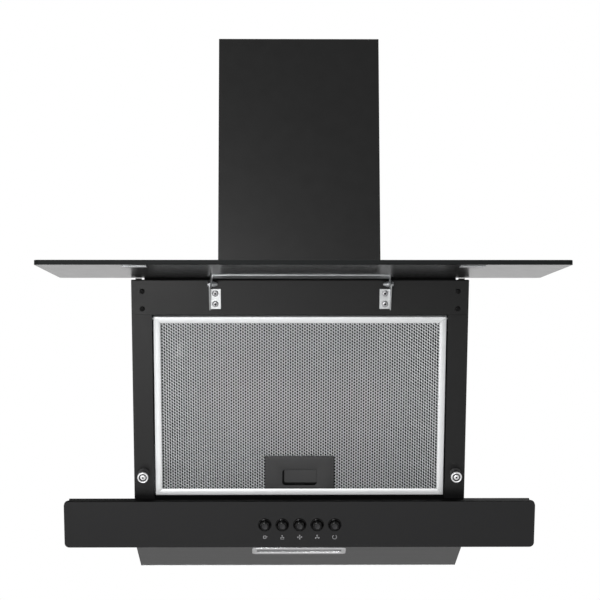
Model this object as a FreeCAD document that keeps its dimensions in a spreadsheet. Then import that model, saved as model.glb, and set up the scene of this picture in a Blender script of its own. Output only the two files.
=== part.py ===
import FreeCAD, Part
import Sketcher
import math
import os
from FreeCAD import Placement, Rotation, Vector

# A wall-mounted slanted chimney hood, 600 mm wide, in millimetres.
# +X is to the right, +Z is up and the wall is the plane y = 0, so the front looks along -Y.
# The body's front leans out towards the top. A point on it is given in the face frame:
# x across, s up the slope and w outwards, with s = w = 0 where the slope is level with the
# top of the control strip.

DIMENSIONS = (
    ("hood_width", 600, "width of the glass panel and of the control strip"),
    ("body_width", 423, "outside width of the steel body"),
    ("body_height", 345.5, "top of the body above its lowest edge"),
    ("slant", 23, "lean of the front, in degrees from upright"),
    ("face_back", 149.5, "distance of the face frame's origin from the wall"),
    ("face_height", 84.8, "height of the face frame's origin"),
    ("front_foot", 65.4, "length of the body's front below the face frame's origin"),
    ("sheet", 1.2, "steel sheet thickness"),
    ("glass", 5.5, "thickness of the glass"),
    ("glass_gap", 19.5, "space between the body's front and the back of the glass"),
    ("glass_low", 3, "lower edge of the closed glass panel, up the slope"),
    ("glass_high", 288, "upper edge of the closed glass panel, up the slope"),
    ("glass_corner", 6, "corner radius of the glass"),
    ("strip_low", 62.5, "lower edge of the control strip, down the slope"),
    ("strip_high", 0.7, "upper edge of the control strip, down the slope"),
    ("hinge_up", 279.9, "glass hinge axis, up the slope"),
    ("hinge_out", 11.25, "glass hinge axis, out from the body's front"),
    ("open_angle", 106, "swing of the glass panel from closed to fully open, in degrees"),
    ("carrier_ear", 112.2, "outer face of the glass carrier's ears at the hinge, from the middle"),
    ("carrier_front", 108.3, "half width of the glass carrier's front edge"),
    ("bracket_ear", 112.4, "inner face of the hinge brackets' ears, from the middle"),
    ("carrier_depth", 76, "depth of the glass carrier along the glass"),
    ("seam_up", 237.9, "lower edge of the top rail, up the slope"),
    ("mouth_half", 186, "half width of the filter opening"),
    ("filter_half", 184.3, "half width of the filter"),
    ("filter_low", 0.7, "lower edge of the filter, down the slope"),
    ("filter_high", 235.2, "upper edge of the filter, up the slope"),
    ("filter_bar", 8.5, "width of the filter's frame bars"),
    ("filter_depth", 10.2, "thickness of the filter"),
    ("button_down", 32.1, "row of buttons, down the slope"),
    ("button_pitch", 22.3, "spacing of the buttons"),
    ("button_travel", 4, "stroke of a button"),
    ("catch_side", 199.5, "distance of the closing catches from the middle"),
    ("catch_up", 28.5, "closing catches, up the slope"),
    ("chimney_width", 210, "outside width of the lower chimney cover"),
    ("chimney_depth", 180, "outside depth of the lower chimney cover"),
    ("chimney_top", 681, "top of the lower chimney cover"),
    ("chimney_slack", 0.6, "sliding space between the two chimney covers"),
    ("duct_radius", 60, "outside radius of the air outlet"),
    ("duct_back", 67, "distance of the air outlet's axis from the wall"),
    ("duct_length", 52, "length of the air outlet above the body"),
    ("wall_hole_side", 163, "wall screw holes, from the middle"),
    ("wall_hole_low", 60, "height of the lower wall screw holes"),
    ("wall_hole_high", 287, "height of the upper wall screw holes"),
    ("wall_hole_radius", 4.25, "radius of the wall screw holes"),
    ("keyhole_rise", 15, "length of the narrow slot above an upper wall screw hole"),
    ("blower_width", 120, "width of the blower housing"),
    ("impeller_radius", 62, "radius of the impeller"),
    ("impeller_back", 103, "distance of the impeller's axis from the wall"),
    ("impeller_height", 214, "height of the impeller's axis"),
    ("lamp_along", 42, "middle of the lamp, back from the underside's front edge"),
    ("lamp_half_long", 61.5, "half length of the lamp bezel"),
    ("lamp_half_wide", 15.9, "half width of the lamp bezel"),
)

document = FreeCAD.newDocument("ChimneyHood")
sizes_sheet = document.addObject("Spreadsheet::Sheet", "Sizes")


class Dim:
    """A length together with the spreadsheet formula that gives it."""

    def __init__(self, value, formula):
        self.value = value
        self.formula = formula

    def __add__(self, other):
        other = dim(other)
        return Dim(self.value + other.value, "(%s + %s)" % (self.formula, other.formula))

    def __sub__(self, other):
        other = dim(other)
        return Dim(self.value - other.value, "(%s - %s)" % (self.formula, other.formula))

    def __mul__(self, other):
        other = dim(other)
        return Dim(self.value * other.value, "%s * %s" % (self.formula, other.formula))

    def __truediv__(self, other):
        other = dim(other)
        return Dim(self.value / other.value, "%s / %s" % (self.formula, other.formula))

    def __neg__(self):
        return Dim(-self.value, "(0 - %s)" % self.formula)

    __radd__ = __add__
    __rmul__ = __mul__

    def __rsub__(self, other):
        return dim(other) - self


def dim(number):
    return number if isinstance(number, Dim) else Dim(float(number), "%.4f" % number)


class Sizes:
    """The driving dimensions by name, each bound to its cell."""

    def __init__(self, rows):
        for row, (name, value, meaning) in enumerate(rows, start=1):
            sizes_sheet.set("A%d" % row, meaning)
            sizes_sheet.set("B%d" % row, str(value))
            sizes_sheet.setAlias("B%d" % row, name)
            setattr(self, name, Dim(float(value), "Sizes.%s" % name))


size = Sizes(DIMENSIONS)
SINE = Dim(math.sin(math.radians(size.slant.value)), "sin(Sizes.slant)")
COSINE = Dim(math.cos(math.radians(size.slant.value)), "cos(Sizes.slant)")
HALF_BODY = size.body_width / 2
INNER_HALF = HALF_BODY - size.sheet
HALF_HOOD = size.hood_width / 2
GLASS_BACK = size.glass_gap
GLASS_FRONT = size.glass_gap + size.glass


# ---- places --------------------------------------------------------------------------

def place(x, y, z, tilt=0.0):
    """A placement at x, y, z, turned about X by tilt degrees."""
    return Placement(Vector(x, y, z), Rotation(Vector(1, 0, 0), tilt))


FACE = place(0, -size.face_back.value, size.face_height.value, 90 + size.slant.value)


def on_face(x, s, w=0.0):
    """A placement whose origin is a point of the face frame, turned with the face."""
    return FACE * place(x, s, w)


def face_point(y, z):
    """The face frame's (s, w) of a point given by its row-frame y and z."""
    forward = y + size.face_back
    upward = z - size.face_height
    return upward * COSINE - forward * SINE, -(forward * COSINE) - upward * SINE


def slope_at(height, w):
    """How far up the slope a line at the given w reaches the given height."""
    return (height - size.face_height + w * SINE) / COSINE


def turned_open():
    """The face frame carried round the hinge to the open glass."""
    up = size.hinge_up.value
    out = size.hinge_out.value
    swing = place(0, up, out, -size.open_angle.value) * place(0, -up, -out)
    return FACE * swing


# ---- outlines ------------------------------------------------------------------------

def fix_point(sketch, geometry, position, x, y):
    for kind, wanted in (("DistanceX", x), ("DistanceY", y)):
        index = sketch.addConstraint(Sketcher.Constraint(kind, -1, 1, geometry, position, wanted.value))
        sketch.setExpression("Constraints[%d]" % index, wanted.formula)


def polygon(*corners):
    corners = [(dim(x), dim(y)) for x, y in corners]

    def draw(sketch):
        points = [Vector(x.value, y.value, 0) for x, y in corners]
        count = len(points)
        first = sketch.GeometryCount
        for i in range(count):
            sketch.addGeometry(Part.LineSegment(points[i], points[(i + 1) % count]))
        for i in range(count):
            follows = first + (i + 1) % count
            sketch.addConstraint(Sketcher.Constraint("Coincident", first + i, 2, follows, 1))
        for i, (x, y) in enumerate(corners):
            fix_point(sketch, first + i, 1, x, y)
    return draw


def rectangle(x0, y0, x1, y1):
    return polygon((x0, y0), (x1, y0), (x1, y1), (x0, y1))


def mirrored_rectangle(side, x0, y0, x1, y1):
    """A rectangle on the right (side 1) or its mirror image on the left (side -1)."""
    return rectangle(dim(x0) * side, y0, dim(x1) * side, y1)


def circle(x, y, radius):
    x, y, radius = dim(x), dim(y), dim(radius)

    def draw(sketch):
        centre = Vector(x.value, y.value, 0)
        ring = sketch.addGeometry(Part.Circle(centre, Vector(0, 0, 1), radius.value))
        fix_point(sketch, ring, 3, x, y)
        index = sketch.addConstraint(Sketcher.Constraint("Radius", ring, radius.value))
        sketch.setExpression("Constraints[%d]" % index, radius.formula)
    return draw


def rounded_rectangle(x0, y0, x1, y1, radius):
    x0, y0, x1, y1, radius = dim(x0), dim(y0), dim(x1), dim(y1), dim(radius)

    def draw(sketch):
        left, low, right, high, r = x0.value, y0.value, x1.value, y1.value, radius.value
        ends = (((left + r, low), (right - r, low)), ((right, low + r), (right, high - r)),
                ((right - r, high), (left + r, high)), ((left, high - r), (left, low + r)))
        centres = ((right - r, low + r), (right - r, high - r), (left + r, high - r), (left + r, low + r))
        first = sketch.GeometryCount
        for quarter, ((start, end), centre) in enumerate(zip(ends, centres)):
            sketch.addGeometry(Part.LineSegment(Vector(*start, 0), Vector(*end, 0)))
            whole = Part.Circle(Vector(*centre, 0), Vector(0, 0, 1), r)
            turn = (quarter - 1) * math.pi / 2
            sketch.addGeometry(Part.ArcOfCircle(whole, turn, turn + math.pi / 2))
        for quarter in range(4):
            line = first + 2 * quarter
            sketch.addConstraint(Sketcher.Constraint("Tangent", line, 2, line + 1, 1))
            following = first + (2 * quarter + 2) % 8
            sketch.addConstraint(Sketcher.Constraint("Tangent", line + 1, 2, following, 1))
            if quarter:
                sketch.addConstraint(Sketcher.Constraint("Equal", first + 1, line + 1))
        fix_point(sketch, first + 1, 3, x1 - radius, y0 + radius)
        fix_point(sketch, first + 5, 3, x0 + radius, y1 - radius)
        index = sketch.addConstraint(Sketcher.Constraint("Radius", first + 1, r))
        sketch.setExpression("Constraints[%d]" % index, radius.formula)
        sketch.addConstraint(Sketcher.Constraint("Horizontal", first))
    return draw


# ---- features ------------------------------------------------------------------------

def new_body(label, placement=Placement()):
    """A body at a placement; one in the face frame follows that frame's driving dimensions."""
    body = document.addObject("PartDesign::Body", label)
    body.Label = label
    body.Placement = placement
    if placement is FACE:
        body.setExpression("Placement.Base.y", "0 - Sizes.face_back")
        body.setExpression("Placement.Base.z", "Sizes.face_height")
        body.setExpression("Placement.Rotation.Angle", "90 + Sizes.slant")
    return body


def new_sketch(body, plane_role, start, outlines):
    """A sketch on one of the body's planes, moved along the plane's normal by start."""
    start = dim(start)
    sketch = body.newObject("Sketcher::SketchObject", body.Label + "_outline")
    plane = [item for item in body.Origin.OriginFeatures if item.Role == plane_role][0]
    sketch.AttachmentSupport = (plane, "")
    sketch.MapMode = "FlatFace"
    sketch.AttachmentOffset = Placement(Vector(0, 0, start.value), Rotation())
    sketch.setExpression("AttachmentOffset.Base.z", start.formula)
    for draw in outlines:
        draw(sketch)
    return sketch


def add(body, plane_role, start, length, *outlines):
    """Pads the outlines from start over length along the plane's normal."""
    length = dim(length)
    feature = body.newObject("PartDesign::Pad", body.Label + "_pad")
    feature.Profile = new_sketch(body, plane_role, start, outlines)
    feature.Length = length.value
    feature.setExpression("Length", length.formula)
    body.Tip = feature
    return feature


def cut(body, plane_role, start, length, *outlines):
    """Cuts the outlines out from start over length along the plane's normal."""
    length = dim(length)
    document.recompute()
    volume = body.Shape.Volume
    feature = body.newObject("PartDesign::Pocket", body.Label + "_pocket")
    feature.Profile = new_sketch(body, plane_role, start, outlines)
    feature.Length = length.value
    feature.setExpression("Length", length.formula)
    feature.Reversed = True
    body.Tip = feature
    document.recompute()
    if body.Shape.Volume > volume - 0.01:
        raise ValueError("a cut in %s removes nothing" % body.Label)
    return feature


def turn(body, *profile):
    """A solid of revolution about the body's Z axis, from corners given as (radius, height)."""
    feature = body.newObject("PartDesign::Revolution", body.Label + "_turned")
    sketch = new_sketch(body, "XZ_Plane", 0, [polygon(*profile)])
    feature.Profile = sketch
    feature.ReferenceAxis = (sketch, ["V_Axis"])
    feature.Angle = 360
    body.Tip = feature
    return feature


def bevel(body, width, wanted):
    """Bevels the edges of the body's last feature whose middle point passes the test."""
    document.recompute()
    base = body.Tip
    names = []
    for index, edge in enumerate(base.Shape.Edges, start=1):
        middle = edge.valueAt((edge.FirstParameter + edge.LastParameter) / 2)
        if wanted(edge, middle):
            names.append("Edge%d" % index)
    feature = body.newObject("PartDesign::Chamfer", body.Label + "_bevel")
    feature.Base = (base, names)
    feature.Size = dim(width).value
    feature.setExpression("Size", dim(width).formula)
    body.Tip = feature
    return feature


# ---- steel body ----------------------------------------------------------------------

RAIL_SCREWS = (245.5, 268.1)
RAIL_SCREW_SIDE = 198.0
HINGE_SCREWS = (252.1, 265.8)
HINGE_SCREW_SIDE = 106.3
TAB_LOW = 232.0
SCREW_HOLE = 2.3
SMALL_SCREW_HOLE = 1.7


def side_panel(label, side):
    """A side with its front stile, the tab behind the top rail and the rear flange."""
    body = new_body(label, FACE)
    t = size.sheet
    start = INNER_HALF if side > 0 else -HALF_BODY
    front_low = -size.front_foot
    side_wall = polygon((front_low, -t), (slope_at(size.body_height, -t), -t),
                        face_point(dim(0), size.body_height), face_point(dim(0), dim(0)))
    add(body, "YZ_Plane", start, t, side_wall)
    add(body, "XY_Plane", -t, t,
        mirrored_rectangle(side, size.mouth_half, front_low, HALF_BODY, size.seam_up - 0.2))
    add(body, "XY_Plane", -2 * t, t,
        mirrored_rectangle(side, 190, TAB_LOW, INNER_HALF + t / 2, 278))
    flange_back = -t
    flange_front = -2 * t
    rear_flange = polygon(face_point(flange_front, dim(6)), face_point(flange_back, dim(6)),
                          face_point(flange_back, dim(340)), face_point(flange_front, dim(340)))
    flange_start = dim(195) if side > 0 else -INNER_HALF
    add(body, "YZ_Plane", flange_start, INNER_HALF - 195, rear_flange)
    holes = [circle(RAIL_SCREW_SIDE * side, s, SCREW_HOLE) for s in RAIL_SCREWS]
    cut(body, "XY_Plane", -2.5 * t, 2 * t, *holes)
    cut(body, "XY_Plane", -1.5 * t, 2 * t, circle(size.catch_side * side, size.catch_up, SCREW_HOLE))
    return body


def top_rail():
    """The cross rail over the filter, with its lower edge turned in."""
    body = new_body("top_rail", FACE)
    t = size.sheet
    lid = size.body_height - t
    face = polygon((size.seam_up, 0), (slope_at(lid, dim(0)), 0), (slope_at(lid, -t), -t),
                   (size.seam_up, -t))
    add(body, "YZ_Plane", -HALF_BODY, size.body_width, face)
    lip = rectangle(size.seam_up, -14, size.seam_up + t, -t)
    add(body, "YZ_Plane", -size.mouth_half, size.mouth_half * 2, lip)
    holes = [circle(RAIL_SCREW_SIDE * side, s, SCREW_HOLE) for side in (-1, 1) for s in RAIL_SCREWS]
    holes += [circle(HINGE_SCREW_SIDE * side, s, SMALL_SCREW_HOLE) for side in (-1, 1) for s in HINGE_SCREWS]
    cut(body, "XY_Plane", -1.5 * t, 2 * t, *holes)
    return body


def front_apron():
    """The closing sheet behind the control strip, with the ledge under the filter."""
    body = new_body("front_apron", FACE)
    t = size.sheet
    ledge = -(size.filter_low + 1.5)
    add(body, "YZ_Plane", -205, 410, rectangle(-63, -2 * t, ledge, -t))
    add(body, "YZ_Plane", -size.mouth_half, size.mouth_half * 2, rectangle(ledge - t, -14, ledge, -2 * t))
    cut(body, "XY_Plane", -5.6, 5.6 - 2 * t, rectangle(-7.5, ledge - 2 * t, 7.5, ledge + 1))
    return body


def top_panel():
    """The top sheet, with the outlet's hole, the cable inlet's hole and a standing hem in front."""
    body = new_body("top_panel")
    lid = size.body_height - size.sheet
    front = -(size.face_back + slope_at(size.body_height, dim(0)) * SINE)
    add(body, "XY_Plane", lid, size.sheet, rectangle(-INNER_HALF, front, INNER_HALF, 0))
    add(body, "XY_Plane", size.body_height, 2.4, rectangle(-195, front + 1.2, 195, front + 1.2 + size.sheet))
    cut(body, "XY_Plane", lid - 1, size.sheet + 2, circle(0, -size.duct_back, size.duct_radius - 2.5),
        circle(GLAND_X, GLAND_Y, GLAND_NECK + 0.2))
    return body


def rear_panel():
    """The back sheet, with two keyholes to hang it by and two plain holes to fix it."""
    body = new_body("rear_panel")
    add(body, "XZ_Plane", 0, size.sheet,
        rectangle(-INNER_HALF, 0, INNER_HALF, size.body_height - size.sheet))
    holes = [circle(size.wall_hole_side * side, height, size.wall_hole_radius)
             for side in (-1, 1) for height in (size.wall_hole_low, size.wall_hole_high)]
    cut(body, "XZ_Plane", -1, size.sheet + 2, *holes)
    slots = [rectangle(size.wall_hole_side * side - 2.6, size.wall_hole_high,
                       size.wall_hole_side * side + 2.6, size.wall_hole_high + size.keyhole_rise)
             for side in (-1, 1)]
    cut(body, "XZ_Plane", -1, size.sheet + 2, *slots)
    return body


FOOT_Y = -(size.face_back - size.front_foot * SINE)
FOOT_Z = size.face_height - size.front_foot * COSINE
UNDER_TILT = -math.degrees(math.atan2(FOOT_Z.value, -FOOT_Y.value))
UNDER_LENGTH = math.hypot(FOOT_Y.value, FOOT_Z.value)
UNDER = place(0, FOOT_Y.value, FOOT_Z.value, UNDER_TILT)


def underside_panel():
    """The sloping bottom sheet, with the lamp's cut-out."""
    body = new_body("underside_panel", UNDER)
    add(body, "XY_Plane", 0, size.sheet, rectangle(-INNER_HALF, 2.6, INNER_HALF, UNDER_LENGTH - 1.5))
    cut(body, "XY_Plane", -1, size.sheet + 2,
        rectangle(-57, size.lamp_along - 12.4, 57, size.lamp_along + 12.4))
    return body


def rail_screws():
    """Four round-headed screws through the top rail."""
    body = new_body("rail_screws", FACE)
    spots = [(RAIL_SCREW_SIDE * side, s) for side in (-1, 1) for s in RAIL_SCREWS]
    add(body, "XY_Plane", -6, 6.5, *[circle(x, s, SCREW_HOLE - 0.2) for x, s in spots])
    add(body, "XY_Plane", 0, 1.9, *[circle(x, s, 3.2) for x, s in spots])
    bevel(body, 0.9, lambda edge, middle: abs(middle.z - 1.9) < 0.01)
    return body


def stop_buffers():
    """Two rubber pads on the body's front top edge, under the open glass panel."""
    body = new_body("stop_buffers")
    front = -(size.face_back + slope_at(size.body_height, dim(0)) * SINE)
    add(body, "XY_Plane", size.body_height, 1.4,
        *[mirrored_rectangle(side, 198, front - 1.6, 206, front + 5) for side in (-1, 1)])
    return body


# ---- control strip -------------------------------------------------------------------

BUTTONS = ("button_lamp", "button_speed_1", "button_speed_2", "button_speed_3", "button_off")
BUTTON_XS = [size.button_pitch * (index - 2) for index in range(len(BUTTONS))]
BUTTON_ROW = -size.button_down
CAP_RADIUS = dim(6.9)
STEM_RADIUS = dim(2.6)


def ground_edges(body):
    """Bevels the outline of the glass in front and behind."""
    def on_rim(edge, middle):
        flat = abs(middle.z - GLASS_FRONT.value) < 0.01 or abs(middle.z - GLASS_BACK.value) < 0.01
        return flat and edge.Length > size.glass_corner.value and not edge.isClosed()
    bevel(body, 0.5, on_rim)


def control_glass():
    body = new_body("control_glass", FACE)
    add(body, "XY_Plane", GLASS_BACK, size.glass,
        rounded_rectangle(-HALF_HOOD, -size.strip_low, HALF_HOOD, -size.strip_high, size.glass_corner),
        *[circle(x, BUTTON_ROW, CAP_RADIUS + 0.5) for x in BUTTON_XS])
    ground_edges(body)
    return body


def control_carrier():
    """The folded channel that holds the control strip out from the body."""
    body = new_body("control_carrier", FACE)
    t = size.sheet
    half = HALF_HOOD - 5
    low = -(size.strip_low - 4.5)
    high = -(size.strip_high + 4.3)
    web = GLASS_BACK - t
    add(body, "XY_Plane", web, t, rectangle(-half, low, half, high),
        *[circle(x, BUTTON_ROW, CAP_RADIUS + 0.6) for x in BUTTON_XS])
    add(body, "YZ_Plane", -half, half * 2, rectangle(high - t, 0, high, web))
    add(body, "YZ_Plane", -half, half * 2, rectangle(low, 0, low + t, web))
    for end in (-half, half - t):
        add(body, "YZ_Plane", end, t, rectangle(low, 0, high, web))
    add(body, "YZ_Plane", -205, 410, rectangle(high - 12, 0, high, t))
    add(body, "YZ_Plane", -205, 410, rectangle(low, 0, low + 12, t))
    return body


def button_bezels():
    body = new_body("button_bezels", FACE)
    rings = [circle(x, BUTTON_ROW, radius) for x in BUTTON_XS for radius in (8.65, CAP_RADIUS + 0.35)]
    add(body, "XY_Plane", GLASS_FRONT, 1.8, *rings)
    bevel(body, 1.1, lambda edge, middle: abs(middle.z - GLASS_FRONT.value - 1.8) < 0.01
          and edge.Length > 2 * math.pi * 8)
    return body


def button(label, x):
    """A push-button with a tapering head, a dished face and its stem."""
    body = new_body(label, on_face(x.value, BUTTON_ROW.value))
    foot = GLASS_BACK + 0.5
    rim = GLASS_FRONT + 6.5
    turn(body, (0, 9), (STEM_RADIUS, 9), (STEM_RADIUS, foot), (CAP_RADIUS, foot),
         (CAP_RADIUS, rim - 4), (6.7, rim - 2.8), (6.1, rim - 1.3), (5.3, rim - 0.4), (4.5, rim),
         (0, rim))
    return body


def switch_block():
    """The five-key switch behind the control strip."""
    body = new_body("switch_block", FACE)
    add(body, "XY_Plane", 2, 12.5, rounded_rectangle(-60, BUTTON_ROW - 12, 60, BUTTON_ROW + 12, 3))
    for end in (-66, 56):
        add(body, "XY_Plane", 10, GLASS_BACK - size.sheet - 10,
            rectangle(end, BUTTON_ROW - 8, end + 10, BUTTON_ROW + 8))
    cut(body, "XY_Plane", 4, 12, *[circle(x, BUTTON_ROW, STEM_RADIUS + 0.3) for x in BUTTON_XS])
    return body


# ---- catches -------------------------------------------------------------------------

CUP_RADIUS = 6.9
CUP_WALL = 2.0
CATCH_SCREW = 3.6
CATCH_FACE = 18.0


def catch_post(label, side):
    body = new_body(label, on_face(size.catch_side.value * side, size.catch_up.value))
    turn(body, (0, -5), (SCREW_HOLE - 0.2, -5), (SCREW_HOLE - 0.2, 0), (7.2, 0), (7.2, 1.6), (5.6, 3.2),
         (5.2, CATCH_FACE - 4), (0, CATCH_FACE - 4))
    return body


def catch_parts(label, *heights_and_rings):
    """A pair of round parts on the catches, each layer (from, to, outer radius, inner radius)."""
    body = new_body(label, FACE)
    for low, high, outer, inner in heights_and_rings:
        rings = []
        for side in (-1, 1):
            rings.append(circle(size.catch_side * side, size.catch_up, outer))
            if inner:
                rings.append(circle(size.catch_side * side, size.catch_up, inner))
        add(body, "XY_Plane", low, high - low, *rings)
    return body


# ---- glass panel and its hinges ------------------------------------------------------

PIN_RADIUS = 1.5
BOSS_RADIUS = 5.0
CARRIER_SHEET = 1.4
EAR_SHEET = 1.5


def hinge_bracket(label, side):
    """A plate on the top rail whose outer edge stands up as an ear round the pin."""
    body = new_body(label, FACE)
    t = EAR_SHEET
    up, out = size.hinge_up, size.hinge_out
    ear_start = size.bracket_ear if side > 0 else -(size.bracket_ear + t)
    add(body, "XY_Plane", 0, t, mirrored_rectangle(side, 99.5, 245.7, size.bracket_ear + t, 271.4))
    ear = polygon((244.4, 0), (244.4, 3), (up - BOSS_RADIUS, out + BOSS_RADIUS), (up, out + BOSS_RADIUS),
                  (up + BOSS_RADIUS, out), (up - 3, 0))
    add(body, "YZ_Plane", ear_start, t, ear)
    add(body, "YZ_Plane", ear_start, t, circle(up, out, BOSS_RADIUS))
    cut(body, "YZ_Plane", ear_start - 1, t + 2, circle(up, out, PIN_RADIUS + 0.05))
    holes = [circle(HINGE_SCREW_SIDE * side, s, SMALL_SCREW_HOLE) for s in HINGE_SCREWS]
    cut(body, "XY_Plane", -1, t + 2, *holes)
    return body


def hinge_screws():
    """Four pan-headed screws, two in each hinge bracket."""
    body = new_body("hinge_screws", FACE)
    spots = [(HINGE_SCREW_SIDE * side, s) for side in (-1, 1) for s in HINGE_SCREWS]
    add(body, "XY_Plane", -5, 7, *[circle(x, s, SMALL_SCREW_HOLE - 0.15) for x, s in spots])
    add(body, "XY_Plane", EAR_SHEET, 2.1, *[circle(x, s, 3.9) for x, s in spots])
    bevel(body, 0.9, lambda edge, middle: abs(middle.z - 3.6) < 0.01)
    return body


def hinge_pin(label, side):
    """A headed pin along X through the bracket's ear and the carrier's ear."""
    x = (size.bracket_ear.value + EAR_SHEET) * side
    body = new_body(label, FACE * Placement(Vector(x, size.hinge_up.value, size.hinge_out.value),
                                            Rotation(Vector(0, 1, 0), -90 * side)))
    turn(body, (0, -2.2), (2.0, -2.2), (2.7, -1.5), (2.7, 0), (PIN_RADIUS, 0), (PIN_RADIUS, 10.2),
         (1.0, 10.8), (0, 10.8))
    return body


def on_hinge_axis():
    """The closed hinge's frame: its Z axis lies along X through the pins."""
    pins = Vector(0, size.hinge_up.value, size.hinge_out.value)
    return FACE * Placement(pins, Rotation(Vector(0, 1, 0), 90))


def pin_caps():
    """The two tapering caps pushed on the inner ends of the hinge pins."""
    body = new_body("pin_caps", on_hinge_axis())
    for side in (-1, 1):
        near = (size.carrier_ear - CARRIER_SHEET - 0.3) * side
        shoulder = near - 1.9 * side
        tip = near - 6.6 * side
        turn(body, (PIN_RADIUS, near), (3.3, near), (3.3, shoulder), (1.9, tip), (PIN_RADIUS, tip))
    return body


def glass_carrier():
    """The sheet bonded to the back of the glass; its turned-down ends spread towards the hinge pins."""
    body = new_body("glass_carrier", turned_open())
    t = CARRIER_SHEET
    up, out = size.hinge_up, size.hinge_out
    back = size.glass_high - 4
    front = back - size.carrier_depth
    bend = up - 9
    web = GLASS_BACK - t
    near, far = size.carrier_front, size.carrier_ear
    add(body, "XY_Plane", web, t, polygon((-near, front), (near, front), (far, bend), (far, back),
                                          (-far, back), (-far, bend)))
    foot = out - BOSS_RADIUS
    for side in (-1, 1):
        add(body, "XY_Plane", foot, web - foot,
            polygon((near * side, front), (far * side, bend), (far * side, back), ((far - t) * side, back),
                    ((far - t) * side, bend), ((near - t) * side, front)))
    across = far * 2 + 2
    cut(body, "YZ_Plane", -far - 1, across,
        polygon((front - 1, foot - 1), (front - 1, web - 2), (front, web - 2), (up - 4, out - 3.5),
                (up - 1, foot), (up - 1, foot - 1)))
    cut(body, "YZ_Plane", -far - 1, across,
        polygon((up + 1, foot - 1), (up + 1, foot), (up + 4, out - 3.5), (back, web),
                (back + 1, web), (back + 1, foot - 1)))
    cut(body, "YZ_Plane", -far - 1, across, circle(up, out, PIN_RADIUS + 0.05))
    return body


def glass_panel():
    body = new_body("glass_panel", turned_open())
    add(body, "XY_Plane", GLASS_BACK, size.glass,
        rounded_rectangle(-HALF_HOOD, size.glass_low, HALF_HOOD, size.glass_high, size.glass_corner))
    ground_edges(body)
    return body


def strike_plates():
    """Two steel plates bonded to the glass, which the catches hold."""
    body = new_body("strike_plates", turned_open())
    thick = GLASS_BACK - CATCH_FACE - 0.3
    add(body, "XY_Plane", CATCH_FACE + 0.3, thick,
        *[mirrored_rectangle(side, 176, 17, 204, 38) for side in (-1, 1)])
    return body


# ---- grease filter -------------------------------------------------------------------

PIVOT_UP = size.filter_high - 3.2
PIVOT_IN = -4.0
HANDLE_HALF = 44.3
HANDLE_HIGH = 51.2
TRAY_HALF = 36.0


def filter_ring(body, w, length, width):
    """One layer of the filter's frame: a ring of the given bar width."""
    half, low, high = size.filter_half, -size.filter_low, size.filter_high
    add(body, "XY_Plane", w, length, rectangle(-half, low, half, high),
        rectangle(-half + width, low + width, half - width, high - width))


def filter_frame():
    """Channel-section aluminium frame with a pivot stud at each upper corner."""
    body = new_body("filter_frame", FACE)
    t = size.sheet
    filter_ring(body, -t, t, size.filter_bar)
    filter_ring(body, -(size.filter_depth - t), size.filter_depth - 2 * t, t)
    filter_ring(body, -size.filter_depth, t, size.filter_bar)
    slot = rectangle(-6.5, -(size.filter_low + 1), 6.5, 1)
    cut(body, "XY_Plane", -5.5, 2.6, slot)
    for start in (-(size.filter_half + 4), size.filter_half - t):
        add(body, "YZ_Plane", start, t + 4, circle(PIVOT_UP, PIVOT_IN, 1.5))
    return body


def filter_mesh():
    """Three flat sheets for the expanded metal inside the frame, cut away round the handle's tray."""
    body = new_body("filter_mesh", FACE)
    inside = size.filter_half - size.sheet
    low = -(size.filter_low - size.sheet)
    high = size.filter_high - size.sheet
    tray_top = HANDLE_HIGH - 3
    for back in (-(size.filter_depth - size.sheet), dim(-5.4), dim(-2.3)):
        add(body, "XY_Plane", back, 0.6,
            polygon((-inside, low), (-TRAY_HALF, low), (-TRAY_HALF, tray_top), (TRAY_HALF, tray_top),
                    (TRAY_HALF, low), (inside, low), (inside, high), (-inside, high)))
    return body


def filter_handle():
    """The plate over the mesh with its finger opening, and the tray behind it."""
    body = new_body("filter_handle", FACE)
    low = size.filter_bar - size.filter_low
    face = -1.6
    add(body, "XY_Plane", face, 1.6, rectangle(-HANDLE_HALF, low, HANDLE_HALF, HANDLE_HIGH),
        rounded_rectangle(-22, 12.2, 22, 33.6, 4))
    tray = -(size.filter_depth - size.sheet)
    tray_half = TRAY_HALF - 0.3
    tray_low = low + 0.4
    tray_high = HANDLE_HIGH - 3.4
    add(body, "XY_Plane", tray, face - tray, rectangle(-tray_half, tray_low, tray_half, tray_high),
        rectangle(-tray_half + 1.2, tray_low + 1, tray_half - 1.2, tray_high - 1.2))
    add(body, "XY_Plane", tray, 1.2, rectangle(-tray_half, tray_low, tray_half, tray_high))
    cut(body, "XY_Plane", -5.5, 2.6, rectangle(-6.5, low, 6.5, tray_low + 3))
    return body


def filter_latch():
    """The sliding bolt behind the handle, drawn up; its tongue drops into the ledge's slot."""
    body = new_body("filter_latch", FACE)
    add(body, "XY_Plane", -5.4, 2.4, rounded_rectangle(-28, 13, 28, 45, 2))
    add(body, "XY_Plane", -5.2, 2, rectangle(-6, -(size.filter_low - 0.3), 6, 16))
    return body


def filter_clips():
    """The two plates behind the stiles that carry the filter's pivot studs."""
    body = new_body("filter_clips", FACE)
    t = size.sheet
    for side in (-1, 1):
        near = size.mouth_half + 0.4
        start = near if side > 0 else -(near + t)
        add(body, "YZ_Plane", start, t, rectangle(214, -12, PIVOT_UP + 4.5, -t))
        add(body, "XY_Plane", -2 * t, t, mirrored_rectangle(side, near, 214, 200, TAB_LOW - 0.5))
        cut(body, "YZ_Plane", start - 1, t + 2, circle(PIVOT_UP, PIVOT_IN, 1.56))
    return body


# ---- chimney -------------------------------------------------------------------------

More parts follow.
